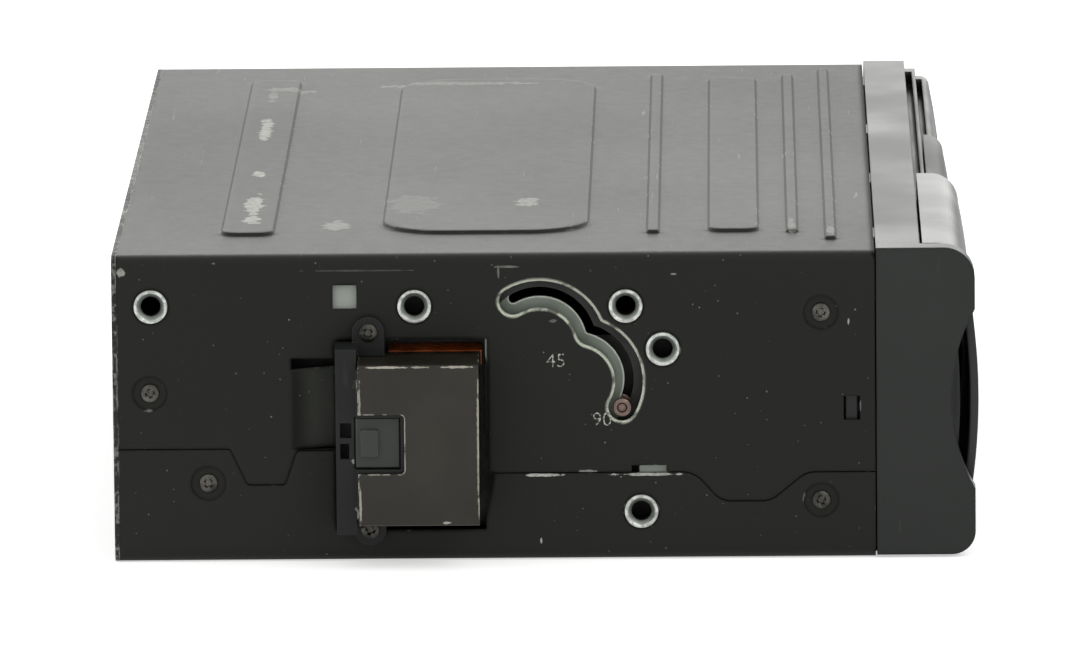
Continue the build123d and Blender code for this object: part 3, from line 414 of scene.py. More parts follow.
@dataclass(frozen=True)
class Track:
    """The selector's two arcs: their middles on the bench and their radius, in mm."""

    lobes: tuple[Pair, ...] = ((97.504, 38.011), (89.711, 45.804))
    radius: float = 10.893

    def beyond(self, g: Graph, bench: Bench) -> Socket:
        """Measures how far a place is outside the arcs.

        Args:
            g: The graph that measures it.
            bench: The case's planes.

        Returns:
            Metres; less than 0 inside them.
        """
        nearest = g.math("MINIMUM", *[g.around(bench.at(0, s, z)) for s, z in self.lobes])
        return g.math("SUBTRACT", nearest, self.radius * MM)


class Finish(Protocol):
    """Anything that can build a material."""

    def material(self) -> Material:
        """Builds the material."""


@dataclass(frozen=True)
class CasePaint:
    """Matte black paint on sheet steel, worn through at edges and on the raised beads; the beads' flanks
    carry painted sheen and the socket's ramp painted light.
    """

    bench: Bench
    base: Colour = (0.0068, 0.0072, 0.0058)
    dust: Colour = (0.021, 0.022, 0.018)
    bare: Colour = (0.50, 0.51, 0.47)
    rim: Colour = (0.80, 0.85, 0.70)
    # painted sheen: lighter paint for the beads' steep flanks
    bead_flank_sheen: Colour = (0.075, 0.075, 0.070)
    # painted light: lighter paint for the shaded socket ramp
    ramp_painted_light: Colour = (0.058, 0.062, 0.053)
    dull: Colour = (0.2, 0.2, 0.18)
    soften: float = 0.0013
    top_soften: float = 0.0030
    blots: tuple[Wear, ...] = (
        Wear((160, 27.5, 65.6), (20, 1.9, 3)), Wear((100, 27.7, 65.6), (5, 1.8, 3)),
        Wear((60, 28.1, 65.6), (17, 2.4, 3)), Wear((42, 28.2, 65.6), (7, 2.8, 3)),
        Wear((205, 27.5, 65.6), (9, 1.4, 3), 0.35), Wear((36.7, 46.4, 65.2), (8, 3.4, 3), 0.5),
        Wear((61.8, 86.6, 65.2), (7, 3.6, 3), 0.6), Wear((221, 68.6, 65.2), (3, 24, 3), 0.35),
        Wear((214, 31, 65.2), (4, 8, 3), 0.35), Wear((24, 150.9, 65.6), (7, 1.2, 3), 0.4),
        Wear((30, 142.8, 65.6), (10, 1.2, 3), 0.35), Wear((60, 62, 65.6), (14, 7, 3), 0.18),
        Wear((0, 83.2, 62.6), (1.5, 3.2, 0.3), 0.3), Wear((0, 81.2, 61.2), (1.5, 0.35, 1.8), 0.28),
        Wear((0, 89.7, 4.1), (1.5, 0.28, 0.9), 0.9), Wear((0, 92.5, 51.0), (1.5, 1.2, 0.5), 0.3),
        Wear((0, 52, 62.0), (1.5, 15, 0.22), 0.12), Wear((0, 2, 62.0), (1.5, 1.4, 1.2), 0.7),
        Wear((0, 90.5, 18.15), (1.5, 5.2, 0.42), 1.0), Wear((0, 112.5, 18.15), (1.5, 9.5, 0.42), 1.0),
        Wear((0, 99.5, 18.9), (1.5, 2.4, 0.5), 0.7), Wear((0, 107.8, 54.1), (1.5, 4.05, 4.05), 0.6),
        Wear((0, 110.8, 10.3), (1.5, 4.05, 4.05), 0.5), Wear((0, 118.0, 60.8), (1.5, 0.9, 0.35), 0.5),
        Wear((0, 154.5, 50.5), (1.5, 0.35, 1.1), 0.7),
    )
    bead_z: Pair = (65.23, 65.27)
    window_s: Pair = (80.0, 80.5)
    window_reach: Pair = (3.8, 3.4)
    ramp_box: tuple[float, float, float, float] = (36.9, 47.5, 23.4, 44.0)
    ramp_fade: float = 0.3
    edge_blots: tuple[Wear, ...] = (
        Wear((0, 30, 65), (3, 36, 2), 0.8), Wear((0, 100, 65), (3, 50, 2), 0.3),
        Wear((125, 0.8, 65), (125, 1.5, 2), 0.9), Wear((0, 0.8, 32), (2, 1.2, 34), 0.4),
    )

    def material(self) -> Material:
        """Builds the paint.

        Returns:
            The material.
        """
        g = Graph("case_paint")
        broad = g.noise(9.0, 4.0)
        fine = g.noise(2600.0, 2.0)
        worn = self.wear(g)
        nz = g.facing()[2]
        upward = g.ramp(nz, 0.5, 0.9)
        streaks = g.ramp(g.noise(60.0, 4.0, stretch=(0.25, 1.0, 1.0)), 0.4, 0.75, (0.0, 0.25))
        streaks = g.times(streaks, upward)
        share = g.math("MAXIMUM", g.ramp(broad, 0.35, 0.75, (0.0, 0.3)), streaks)
        paint = g.blend(share, self.base, self.dust)
        # painted light: the lanced ramp's paint is lightened, more with depth, to stand against its shade
        paint = g.blend(self.ramp(g), paint, self.ramp_painted_light)
        # painted sheen: faces above the bead height that turn away from upward are painted lighter
        high = g.ramp(g.axes()[2], *[z * MM for z in self.bead_z])
        paint = g.blend(g.times(high, g.ramp(nz, 0.6, 0.4)), paint, self.bead_flank_sheen)
        bare = g.blend(g.cloud(700.0, 0.4, 1.0), self.dull, self.bare)
        matte = g.math("ADD", g.ramp(broad, 0.3, 0.7, (0.50, 0.54)), g.times(fine, 0.08))
        mottle = g.math("MULTIPLY_ADD", g.noise(260.0, 5.0, roughness=0.7), 0.09, -0.045)
        mottle = g.times(upward, mottle)
        polish = g.math("ADD", g.math("MULTIPLY_ADD", upward, -0.15, matte), mottle)
        rim = g.times(self.window(g), g.edges(0.0012, (0.998, 0.962)))
        rim = g.times(rim, g.ramp(g.noise(330.0, 4.0), 0.36, 0.5, (0.25, 1.0)))
        g.set(Base_Color=g.blend(rim, g.blend(worn, paint, bare), self.rim),
              Metallic=g.times(worn, 0.35),
              Roughness=g.math("MULTIPLY_ADD", worn, 0.12, polish), IOR=1.3)
        g.relief(g.math("SUBTRACT", g.times(fine, 0.25), worn), 0.00004,
                 g.ramp(nz, 0.5, 0.9, (self.soften, self.top_soften)))
        return g.material

    def wear(self, g: Graph) -> Socket:
        """Where the paint is gone.

        Args:
            g: The paint's graph.

        Returns:
            1 where bare metal shows, 0 where the paint holds.
        """
        ragged = g.noise(420.0, 5.0, roughness=0.65)
        nz = g.facing()[2]
        edges = g.edges(0.0006)
        worn = g.times(edges, g.ramp(g.noise(160.0, 4.0), 0.62, 0.68, (0.0, 0.8)))
        for blot in self.blots:
            worn = g.math("MAXIMUM", worn, g.blot(self.bench, blot, ragged))
        for blot in self.edge_blots:
            chipped = g.times(g.blot(self.bench, blot, ragged), edges)
            worn = g.math("MAXIMUM", worn, g.times(chipped, g.ramp(ragged, 0.42, 0.55)))
        lines = g.noise(38.0, 2.0, stretch=(1.0, 26.0, 1.0), distortion=0.6)
        scratch = g.ramp(lines, 0.70, 0.73, (0.0, 0.35))
        scratch = g.times(scratch, g.ramp(g.noise(30.0), 0.5, 0.6))
        worn = g.math("MAXIMUM", worn, g.times(scratch, g.ramp(nz, 0.8, 0.9)))
        specks = g.ramp(g.noise(1500.0, 0.0), 0.84, 0.87, (0.0, 0.35))
        return g.math("MAXIMUM", worn, specks, clamp=True)

    def window(self, g: Graph) -> Socket:
        """Finds the selector's window on the side walls, where the punched edge is bare.

        Args:
            g: The paint's graph.

        Returns:
            1 round the window, 0 elsewhere.
        """
        off = g.math("ABSOLUTE", Track().beyond(g, self.bench))
        ahead = g.ramp(g.axes()[1], *[self.bench.at(0, s, 0).y for s in self.window_s])
        return g.times(ahead, g.ramp(off, *[reach * MM for reach in self.window_reach]))

    def ramp(self, g: Graph) -> Socket:
        """Finds the lanced ramp behind the socket, where the paint is lightened as painted light against the
        shade there.

        Args:
            g: The paint's graph.

        Returns:
            The share of painted light, which grows with depth down the ramp.
        """
        s0, s1, z0, z1 = self.ramp_box
        _, y, z = g.axes()
        middle = self.bench.at(0, (s0 + s1) / 2, (z0 + z1) / 2)
        share = g.ramp(self.bench_depth(g), 0.0001, 0.0026)
        for place, centre, half in ((y, middle.y, (s1 - s0) / 2), (z, middle.z, (z1 - z0) / 2)):
            off = g.math("ABSOLUTE", g.math("SUBTRACT", place, centre))
            share = g.times(share, g.ramp(off, half * MM, (half - self.ramp_fade) * MM))
        return share

    def bench_depth(self, g: Graph) -> Socket:
        """Depth behind the nearer side wall, in metres."""
        return g.times(g.outside(self.bench), -1.0)


@dataclass(frozen=True)
class RearPaint:
    """Painted rear plate whose sheared edge is bare."""

    dull: Colour = (0.12, 0.12, 0.11)
    bright: Colour = (0.42, 0.42, 0.40)

    def material(self) -> Material:
        """Builds the plate's finish.

        Returns:
            The material.
        """
        g = Graph("rear_paint")
        edge = g.ramp(g.math("ABSOLUTE", g.facing()[1]), 0.5, 0.4)
        spots = g.ramp(g.noise(900.0, 4.0), 0.50, 0.66, (0.03, 0.6))
        bare = g.times(edge, spots)
        chips = g.times(g.edges(0.0006), g.ramp(g.noise(220.0, 4.0), 0.5, 0.58))
        bare = g.math("MAXIMUM", bare, chips, clamp=True)
        tone = g.blend(g.noise(500.0), self.dull, self.bright)
        g.set(Base_Color=g.blend(bare, CasePaint.base, tone), Metallic=g.times(bare, 0.4),
              Roughness=g.cloud(60.0, 0.4, 0.55), IOR=1.3)
        g.relief(g.noise(2400.0), 0.00001, 0.0003)
        return g.material


@dataclass(frozen=True)
class Moulded:
    """Fine-grained moulded plastic with slightly rubbed edges."""

    name: str
    base: Colour
    roughness: float = 0.42
    grain: float = 3200.0
    depth: float = 0.000012
    rub: float = 0.35
    ior: float = 1.34
    top_polish: float = 0.0
    soften: float = 0.00035
    bench: Optional[Bench] = None
    blots: tuple[Wear, ...] = ()
    scuffed: Colour = (0.42, 0.43, 0.38)

    def material(self) -> Material:
        """Builds the moulding's finish.

        Returns:
            The material.
        """
        g = Graph(self.name)
        lighter = tuple(min(1.0, c * 2.4 + 0.02) for c in self.base)
        rubbed = g.times(g.edges(0.0008), g.ramp(g.noise(90.0), 0.4, 0.7, (0.1, self.rub)))
        marks = g.ramp(g.noise(55.0, 2.0, stretch=(1.0, 9.0, 1.0)), 0.71, 0.74, (0.0, 0.25))
        dust = g.ramp(g.noise(14.0, 4.0), 0.4, 0.8, (0.0, 0.18))
        share = g.math("MAXIMUM", g.math("MAXIMUM", rubbed, marks), dust)
        colour = g.blend(share, self.base, lighter)
        for blot in self.blots:
            ragged = g.noise(700.0, 5.0, roughness=0.7)
            colour = g.blend(g.blot(self.bench, blot, ragged), colour, self.scuffed)
        matte = g.cloud(25.0, self.roughness - 0.05, self.roughness + 0.06)
        nz = g.facing()[2]
        polish = g.math("MULTIPLY_ADD", g.ramp(nz, 0.5, 0.9), -self.top_polish, matte)
        g.set(Base_Color=colour, Roughness=polish, IOR=self.ior)
        g.relief(g.noise(self.grain, 2.0), self.depth, self.soften)
        return g.material


@dataclass(frozen=True)
class Metal:
    """Bare or plated metal: brushed or cloudy, with dull patches."""

    name: str
    bright: Colour
    dull: Colour
    roughness: float = 0.3
    metallic: float = 1.0
    brushed: Point = (1.0, 1.0, 1.0)

    def material(self) -> Material:
        """Builds the metal.

        Returns:
            The material.
        """
        g = Graph(self.name)
        cloudy = g.ramp(g.noise(220.0, 4.0, roughness=0.6), 0.35, 0.65)
        lines = g.noise(900.0, 2.0, stretch=self.brushed)
        g.set(Base_Color=g.blend(cloudy, self.dull, self.bright), Metallic=self.metallic,
              Roughness=g.math("MULTIPLY_ADD", lines, 0.2, self.roughness - 0.1))
        g.relief(lines, 0.000006, 0.0002)
        return g.material


@dataclass(frozen=True)
class GuardMetal:
    """Bronze-grey plated sheet, rubbed bright along its folds and ends."""

    bench: Bench
    blots: tuple[Wear, ...] = (
        Wear((-12, 57.5, 43.5), (1.6, 5.5, 0.30), 0.75), Wear((-12, 64.5, 43.5), (1.6, 2.6, 0.26), 0.6),
        Wear((-12, 72.5, 43.5), (1.6, 4.5, 0.30), 0.7), Wear((-12, 52.1, 32), (1.6, 0.3, 11), 0.5),
        Wear((-12, 52.1, 14), (1.6, 0.35, 5), 0.6), Wear((-12, 76.8, 27), (1.6, 0.3, 16), 0.5),
        Wear((-12, 70.0, 10.4), (1.6, 1.2, 0.4), 0.7),
    )
    dark: Colour = (0.013, 0.0115, 0.0075)
    light: Colour = (0.024, 0.0215, 0.0145)
    bright: Colour = (0.5, 0.47, 0.4)

    def material(self) -> Material:
        """Builds the guard's finish.

        Returns:
            The material.
        """
        g = Graph("guard")
        patchy = g.ramp(g.noise(260.0, 5.0, roughness=0.7), 0.46, 0.56)
        rubbed = g.times(g.edges(0.0006), patchy)
        ragged = g.noise(800.0, 5.0, roughness=0.7)
        for blot in self.blots:
            rubbed = g.math("MAXIMUM", rubbed, g.blot(self.bench, blot, ragged))
        tone = g.blend(g.ramp(g.noise(45.0, 4.0), 0.35, 0.7), self.dark, self.light)
        g.set(Base_Color=g.blend(rubbed, tone, self.bright), Metallic=g.times(rubbed, 0.6),
              Roughness=g.cloud(120.0, 0.32, 0.44), IOR=1.38)
        g.relief(g.noise(1600.0, 3.0), 0.000012, 0.0002)
        return g.material


@dataclass(frozen=True)
class BracketPlate:
    """Dull grey-green passivated plate, bright on its cut edges, with painted shadow in near-black beyond the
    selector's track.
    """

    bench: Bench
    track: float = 0.85
    fade: float = 0.2
    dark: Colour = (0.17, 0.20, 0.165)
    light: Colour = (0.25, 0.285, 0.24)
    bright: Colour = (0.75, 0.79, 0.70)
    shade: Colour = (0.008, 0.008, 0.007)

    def material(self) -> Material:
        """Builds the plate's finish.

        Returns:
            The material.
        """
        g = Graph("passivated_plate")
        patchy = g.ramp(g.noise(300.0), 0.3, 0.5, (0.5, 1.0))
        cut = g.times(g.edges(0.0007, (0.995, 0.93)), patchy)
        tone = g.blend(g.ramp(g.noise(90.0, 4.0), 0.35, 0.7), self.dark, self.light)
        # painted shadow: the plate beyond the track is painted near-black to stand for the shade there
        painted_shadow = g.ramp(Track().beyond(g, self.bench), self.track * MM, (self.track + self.fade) * MM)
        g.set(Base_Color=g.blend(painted_shadow, g.blend(cut, tone, self.bright), self.shade), Metallic=0.2,
              Roughness=g.cloud(200.0, 0.4, 0.55), IOR=1.45)
        g.relief(g.noise(1500.0, 2.0), 0.000008)
        return g.material


@dataclass(frozen=True)
class BushPlate:
    """Bright zinc on the ring's face, with painted shade that darkens down the bore."""

    bench: Bench
    bore_painted_shade: Colour = (0.02, 0.02, 0.018)
    thread: Colour = (0.30, 0.32, 0.30)
    dull: Colour = (0.34, 0.36, 0.33)
    bright: Colour = (0.62, 0.645, 0.61)

    def material(self) -> Material:
        """Builds the bush's finish.

        Returns:
            The material.
        """
        g = Graph("bush_plate")
        out = g.outside(self.bench)
        face = g.ramp(out, 0.00022, 0.0004)
        # painted shade: the bore is painted darker the deeper it goes
        bore = g.blend(g.ramp(out, -0.0022, 0.0003), self.bore_painted_shade, self.thread)
        spots = g.ramp(g.noise(700.0, 4.0, roughness=0.65), 0.40, 0.62)
        plate = g.blend(spots, self.dull, self.bright)
        g.set(Base_Color=g.blend(face, bore, plate), Metallic=0.75,
              Roughness=g.cloud(500.0, 0.28, 0.42))
        g.relief(g.noise(1800.0, 3.0), 0.00001, 0.0001)
        return g.material


@dataclass(frozen=True)
class ScratchedMark:
    """Paint scratched through in places, as a hand-cut number is."""

    paint: Colour = (0.03, 0.032, 0.027)
    bare: Colour = (0.52, 0.54, 0.46)

    def material(self) -> Material:
        """Builds the scratch's finish.

        Returns:
            The material.
        """
        g = Graph("scratched_mark")
        cut = g.ramp(g.noise(1300.0, 4.0, roughness=0.7), 0.44, 0.56)
        g.set(Base_Color=g.blend(cut, self.paint, self.bare), Roughness=0.55,
              Metallic=g.times(cut, 0.3))
        g.relief(cut, 0.00001)
        return g.material


@dataclass(frozen=True)
class Film:
    """Thin orange-brown insulating film."""

    dark: Colour = (0.42, 0.075, 0.012)
    light: Colour = (0.58, 0.13, 0.02)

    def material(self) -> Material:
        """Builds the film.

        Returns:
            The material.
        """
        g = Graph("amber_film")
        tone = g.blend(g.cloud(150.0, 0.0, 1.0), self.dark, self.light)
        g.set(Base_Color=tone, Roughness=g.cloud(80.0, 0.22, 0.34), IOR=1.5)
        g.relief(g.noise(400.0), 0.00001)
        return g.material


class Palette:
    """Every finish by the record's slot name."""

    def __init__(self, bench: Bench) -> None:
        """Builds one material for each slot.

        Args:
            bench: The case's planes.
        """
        finishes: dict[str, Finish] = {
            "case_paint": CasePaint(bench),
            "bezel": Moulded("bezel_plastic", (0.0125, 0.0145, 0.0130), roughness=0.43, top_polish=0.12,
                              soften=0.0013),
            "door": Moulded("door_plastic", (0.0120, 0.0130, 0.0120), roughness=0.42, top_polish=0.19,
                             ior=1.42, soften=0.0008),
            "zinc": Metal("zinc_plate", (0.66, 0.68, 0.68), (0.36, 0.38, 0.37), roughness=0.34),
            "black_screw": Metal("blackened_steel", (0.10, 0.095, 0.082), (0.016, 0.016, 0.014),
                                 roughness=0.30, metallic=0.75),
            "copper_pin": Metal("copper_flash", (0.29, 0.215, 0.19), (0.14, 0.10, 0.088), roughness=0.38),
            "socket": Moulded("socket_plastic", (0.0085, 0.0098, 0.0088), roughness=0.44, ior=1.28, rub=0.6,
                              bench=bench,
                              blots=(Wear((-11.5, 50.9, 40), (2.5, 0.9, 3.4), 0.7),
                                     Wear((-11.5, 50.9, 12.5), (2.5, 1.0, 3.0), 0.8),
                                     Wear((-11, 50.7, 23), (2.5, 0.7, 1.0), 0.6))),
            "guard": GuardMetal(bench),
            "amber_sheet": Film(),
            "white_plastic": Moulded("white_plastic", (0.33, 0.36, 0.32), roughness=0.45, rub=0.05),
            "steel": Metal("plated_steel", (0.46, 0.46, 0.44), (0.40, 0.40, 0.39), roughness=0.34,
                           brushed=(1.0, 12.0, 1.0)),
            "spring_steel": Metal("spring_wire", (0.5, 0.5, 0.5), (0.36, 0.36, 0.36), roughness=0.26),
            "inner_plastic": Moulded("inner_plastic", (0.012, 0.012, 0.012)),
            "tray_plastic": Moulded("tray_plastic", (0.060, 0.060, 0.062)),
            "rubber": Moulded("damper_rubber", (0.010, 0.010, 0.010), roughness=0.7, rub=0.1),
            "board": Moulded("board_lacquer", (0.018, 0.085, 0.032), roughness=0.3, rub=0.05),
            "chip": Moulded("chip_resin", (0.014, 0.014, 0.014), roughness=0.5),
            "dark_steel": Metal("phosphated_steel", (0.030, 0.030, 0.027), (0.014, 0.014, 0.013),
                                roughness=0.5, metallic=0.3),
            "bracket": BracketPlate(bench),
            "mark": ScratchedMark(),
            "bush": BushPlate(bench),
            "latch": Moulded("latch_plastic", (0.030, 0.035, 0.030), roughness=0.4, rub=0.7),
            "inner_door": Moulded("inner_door_plastic", (0.012, 0.013, 0.012), roughness=0.45,
                                  top_polish=0.08, soften=0.0008),
        }
        self.materials = {slot: finish.material() for slot, finish in finishes.items()}
        self.exceptions = {
            "rear_plate": RearPaint().material(),
            "mechanism_frame": self.materials["dark_steel"],
            "side_bracket_left": self.materials["bracket"],
            "side_bracket_right": self.materials["bracket"],
            "connector_latch": self.materials["latch"],
            "inner_door": self.materials["inner_door"],
        }

    def dress(self, frame: dict) -> None:
        """Gives every carried-over node its slot's material.

        Args:
            frame: The frame's record and nodes.
        """
        for part in frame["record"]["subparts"]:
            mesh = frame["nodes"][part["node"]].data
            mesh.materials.clear()
            mesh.materials.append(self.materials[part["material_slot"]])
        for node, finish in self.exceptions.items():
            frame["nodes"][node].data.materials[0] = finish


# ---- meshes


def link(name: str, data: bpy.types.ID) -> bpy.types.Object:
    """Adds an object to the scene.

    Args:
        name: The object's name.
        data: Its mesh, curve, lamp or camera.

    Returns:
        The object.
    """
    thing = bpy.data.objects.new(name, data)
    bpy.context.scene.collection.objects.link(thing)
    return thing


def add_mesh(name: str, bm: Mesh, material: Material, smooth: float = 35.0) -> bpy.types.Object:
    """Turns a bmesh into a shaded object.

    Args:
        name: The object's name.
        bm: The mesh, which is freed.
        material: Its finish.
        smooth: Angle under which edges shade smooth, in degrees.

    Returns:
        The linked object.
    """
    bmesh.ops.recalc_face_normals(bm, faces=bm.faces)
    mesh = bpy.data.meshes.new(name)
    bm.to_mesh(mesh)
    bm.free()
    mesh.materials.append(material)
    piece = link(name, mesh)
    mesh.shade_smooth()
    mesh.set_sharp_from_angle(angle=radians(smooth))
    return piece


def skin(bm: Mesh, rings: list[list[bmesh.types.BMVert]], steps: int) -> None:
    """Joins closed rings of points with faces.

    Args:
        bm: Mesh that takes the faces.
        rings: The rings in order; a ring of one point closes on it.
        steps: Points to a full ring.
    """
    for a, b in zip(rings, rings[1:]):
        for step in range(steps):
            after = (step + 1) % steps
            corners = [a[step % len(a)], a[after % len(a)], b[after % len(b)], b[step % len(b)]]
            unique = list(dict.fromkeys(corners))
            if len(unique) > 2:
                bm.faces.new(unique)


def lathe(bm: Mesh, profile: Sequence[Pair], place: Matrix, steps: int = 48) -> None:
    """Revolves a profile about the local Z axis.

    Args:
        bm: Mesh that takes the faces.
        profile: (radius, height) points in mm; a radius of 0 closes on the axis.
        place: Where the local axes stand.
        steps: Facets round the axis.
    """
    rings = []
    for radius, height in profile:
        if radius == 0:
            rings.append([bm.verts.new(place @ Vector((0, 0, height * MM)))])
            continue
        ring = []
        for step in range(steps):
            angle = 2 * pi * step / steps
            across, up = radius * MM * cos(angle), radius * MM * sin(angle)
            ring.append(bm.verts.new(place @ Vector((across, up, height * MM))))
        rings.append(ring)
    skin(bm, rings, steps)


def outward(place: Vector, side: Side) -> Matrix:
    """Local axes whose Z leaves a side wall."""
    turn = Matrix.Rotation(radians(-90 if side is Side.LEFT else 90), 4, "Y")
    return Matrix.Translation(place) @ turn


def carve(piece: bpy.types.Object, cutter: bpy.types.Object) -> None:
    """Cuts one object's solid out of another's and removes the cutter.

    Args:
        piece: The object that is cut.
        cutter: The object that cuts it.
    """
    cut = piece.modifiers.new("carve", "BOOLEAN")
    cut.operation = "DIFFERENCE"
    cut.solver = "EXACT"
    cut.object = cutter
    graph = bpy.context.evaluated_depsgraph_get()
    carved = bpy.data.meshes.new_from_object(piece.evaluated_get(graph))
    piece.modifiers.clear()
    piece.data = carved
    bpy.data.objects.remove(cutter)
    carved.shade_smooth()
    carved.set_sharp_from_angle(angle=radians(30))


def settle(piece: bpy.types.Object, body: str, slot: str, *nodes: str) -> None:
    """Puts a finished piece in its place in the record.

    Args:
        piece: The piece.
        body: The body that it rides on.
        slot: The material slot that it takes; not used.
        nodes: The nodes that it stands for, if any.
    """
    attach(piece, body)
    if nodes:
        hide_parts(*nodes)
    log.info("%s rides on %s", piece.name, body)


# ---- sub-assemblies

COVER_SCREWS = ((7.8, 36.1), (19.85, 16.8), (148.7, 52.4), (148.6, 12.4))
COVER_SEAT = 0.7
EAR_SCREWS = ((53.8, 49.0), (53.8, 7.0))
EAR_SEAT = -1.5
EAR_TURN = 40.0


@dataclass
class CrossScrews:
    """Cross-head screws standing on a seat in a side wall."""

    bench: Bench
    palette: Palette
    name: str
    node: str
    side: Side
    seat: float
    places: tuple[Pair, ...]
    shank: Pair = (1.2, 4.0)
    head_r: float = 1.95
    head_h: float = 0.85
    cross: float = 1.35
    arm: float = 0.42
    depth: float = 0.75
    turn: float = 17.0
    spread: float = 31.0

    def profile(self) -> list[Pair]:
        """Draws the head and shank.

        Returns:
            (radius, height) points, up from the shank's end.
        """
        r, h = self.head_r, self.head_h
        shank_r, shank = self.shank
        dome = [(r * cos(radians(a)), h * 0.4 + h * 0.6 * sin(radians(a))) for a in (0, 20, 40, 60, 75)]
        return [(0, -shank), (shank_r, -shank), (shank_r, 0), (r, 0), *dome, (0, h)]

    def cutter(self, place: Matrix, turn: float) -> bpy.types.Object:
        """Makes the driver's cross, tapering into the head.

        Args:
            place: The head's local axes.
            turn: The cross's turn about them, in degrees.

        Returns:
            The cutter.
        """
        bm = bmesh.new()
        spin = place @ Matrix.Rotation(radians(turn), 4, "Z")
        rings = []
        for reach, half, height in ((self.cross, self.arm, self.head_h + 0.4),
                                    (self.cross * 0.5, self.arm * 0.8, self.head_h - self.depth)):
            corner = [(reach, -half), (reach, half), (half, half)]
            quarter = [Matrix.Rotation(radians(90.0 * n), 2) for n in range(4)]
            outline = [around @ Vector(spot) for around in quarter for spot in corner]
            rings.append([bm.verts.new(spin @ Vector((x * MM, y * MM, height * MM))) for x, y in outline])
        high, low = rings
        bm.faces.new(high)
        bm.faces.new(low[::-1])
        for n in range(len(high)):
            after = (n + 1) % len(high)
            bm.faces.new((high[n], low[n], low[after], high[after]))
        return add_mesh("cross_cutter", bm, self.palette.materials["black_screw"])

    def build(self) -> None:
        """Makes the screws in one piece that stands for their node."""
        finish = self.palette.materials["black_screw"]
        merged = bmesh.new()
        for number, (s, z) in enumerate(self.places):
            place = outward(self.bench.side(self.side, self.seat, s, z), self.side)
            bm = bmesh.new()
            lathe(bm, self.profile(), place)
            head = add_mesh("screw_blank", bm, finish)
            carve(head, self.cutter(place, self.turn + self.spread * number))
            merged.from_mesh(head.data)
            bpy.data.objects.remove(head)
        piece = add_mesh(self.name, merged, finish, 30.0)
        settle(piece, "chassis", "black_screw", self.node)


@dataclass
class MountBushes:
    """Plated bushes with a turned ring and an M5 thread."""

    bench: Bench
    palette: Palette
    side: Side
    places: tuple[Pair, ...] = (
        (8.2, 54.6), (63.5, 54.3), (107.8, 54.1), (115.5, 44.9), (110.8, 10.3),
    )
    ring_r: float = 3.6
    proud: float = 0.5
    length: float = 5.5
    bore_r: float = 2.1
    thread_depth: float = 0.28
    pitch: float = 0.8

    def profile(self) -> list[Pair]:
        """Draws the ring and the threaded bore.

        Returns:
            A closed section of (radius, height) points, from the bore's inner end.
        """
        r, ring, lip, end = self.bore_r, self.ring_r, self.proud, -self.length
        half = self.pitch / 2
        bore = []
        for turn in range(int(self.length / self.pitch)):
            h = end + half + turn * self.pitch
            bore += [(r + self.thread_depth, h), (r, h + half)]
        return [
            (r + 0.3, end), *bore, (r, lip - 1.1), (r + 0.75, lip - 0.12), (r + 0.9, lip),
            (ring - 0.35, lip), (ring - 0.1, lip - 0.1), (ring, lip - 0.3), (ring, end), (r + 0.3, end),
        ]

    def build(self) -> None:
        """Makes this side's five bushes in one piece."""
        bm = bmesh.new()
        for s, z in self.places:
            lathe(bm, self.profile(), outward(self.bench.side(self.side, 0.0, s, z), self.side), 64)
        bmesh.ops.remove_doubles(bm, verts=bm.verts, dist=0.000001)
        piece = add_mesh(f"bushes_{self.side.value}", bm, self.palette.materials["bush"], 28.0)
        settle(piece, "chassis", "zinc", f"mount_nuts_{self.side.value}")


@dataclass
class Slips:
    """Flat pieces with softened edges: the white slip seen in the windows, and the bezel's bridges."""

    bench: Bench
    palette: Palette
    windows: tuple[tuple[str, float, float, float, float], ...] = (
        ("white_plastic", 44.5, 53.2, 52.4, 60.2), ("white_plastic", 110.4, 117.2, 17.4, 21.2),
        ("inner_plastic", 153.7, 156.4, 28.8, 35.4),
    )
    window_w: Pair = (1.15, 2.1)
    bridges: tuple[Pair, ...] = ((18.0, 30.0), (87.0, 99.0), (152.0, 164.0), (218.0, 230.0))
    bridge_s: Pair = (159.9, 160.4)
    bridge_z: Pair = (63.9, 65.22)
    lip: tuple[Point, Point] = ((2.0, 158.6, 1.05), (248.0, 160.9, 1.4))
    slip_soften: float = 0.15
    soften: float = 0.05

    def slab(self, name: str, low: Point, high: Point, slot: str, soften: float,
             side: Side = Side.LEFT) -> None:
        """Makes one flat piece.

        Args:
            name: The piece's name.
            low: Its least w, s and z, in mm.
            high: Its greatest w, s and z, in mm.
            slot: The finish that it takes.
            soften: Width of its edges' bevel, in mm.
            side: The wall that w is measured from.
        """
        bm = bmesh.new()
        bmesh.ops.create_cube(bm, size=1.0)
        a, b = self.bench.side(side, *low), self.bench.side(side, *high)
        middle, size = (a + b) / 2, b - a
        for vert in bm.verts:
            vert.co = Vector([middle[n] + vert.co[n] * abs(size[n]) for n in range(3)])
        bmesh.ops.bevel(bm, geom=bm.edges[:], offset=soften * MM, segments=2, affect="EDGES")
        settle(add_mesh(name, bm, self.palette.materials[slot]), "chassis", slot)

    def build(self) -> None:
        """Makes the slips and the bridges."""
        for number, (slot, s0, s1, z0, z1) in enumerate(self.windows):
            w0, w1 = self.window_w
            for side in Side:
                name = f"window_slip_{side.value}_{number + 1}"
                self.slab(name, (w0, s0, z0), (w1, s1, z1), slot, self.slip_soften, side)
        for number, (w0, w1) in enumerate(self.bridges):
            low, high = zip(self.bridge_s, self.bridge_z)
            self.slab(f"bezel_bridge_{number + 1}", (w0, *low), (w1, *high), "bezel", self.soften)
        self.slab("bezel_lip", *self.lip, "bezel", self.soften)


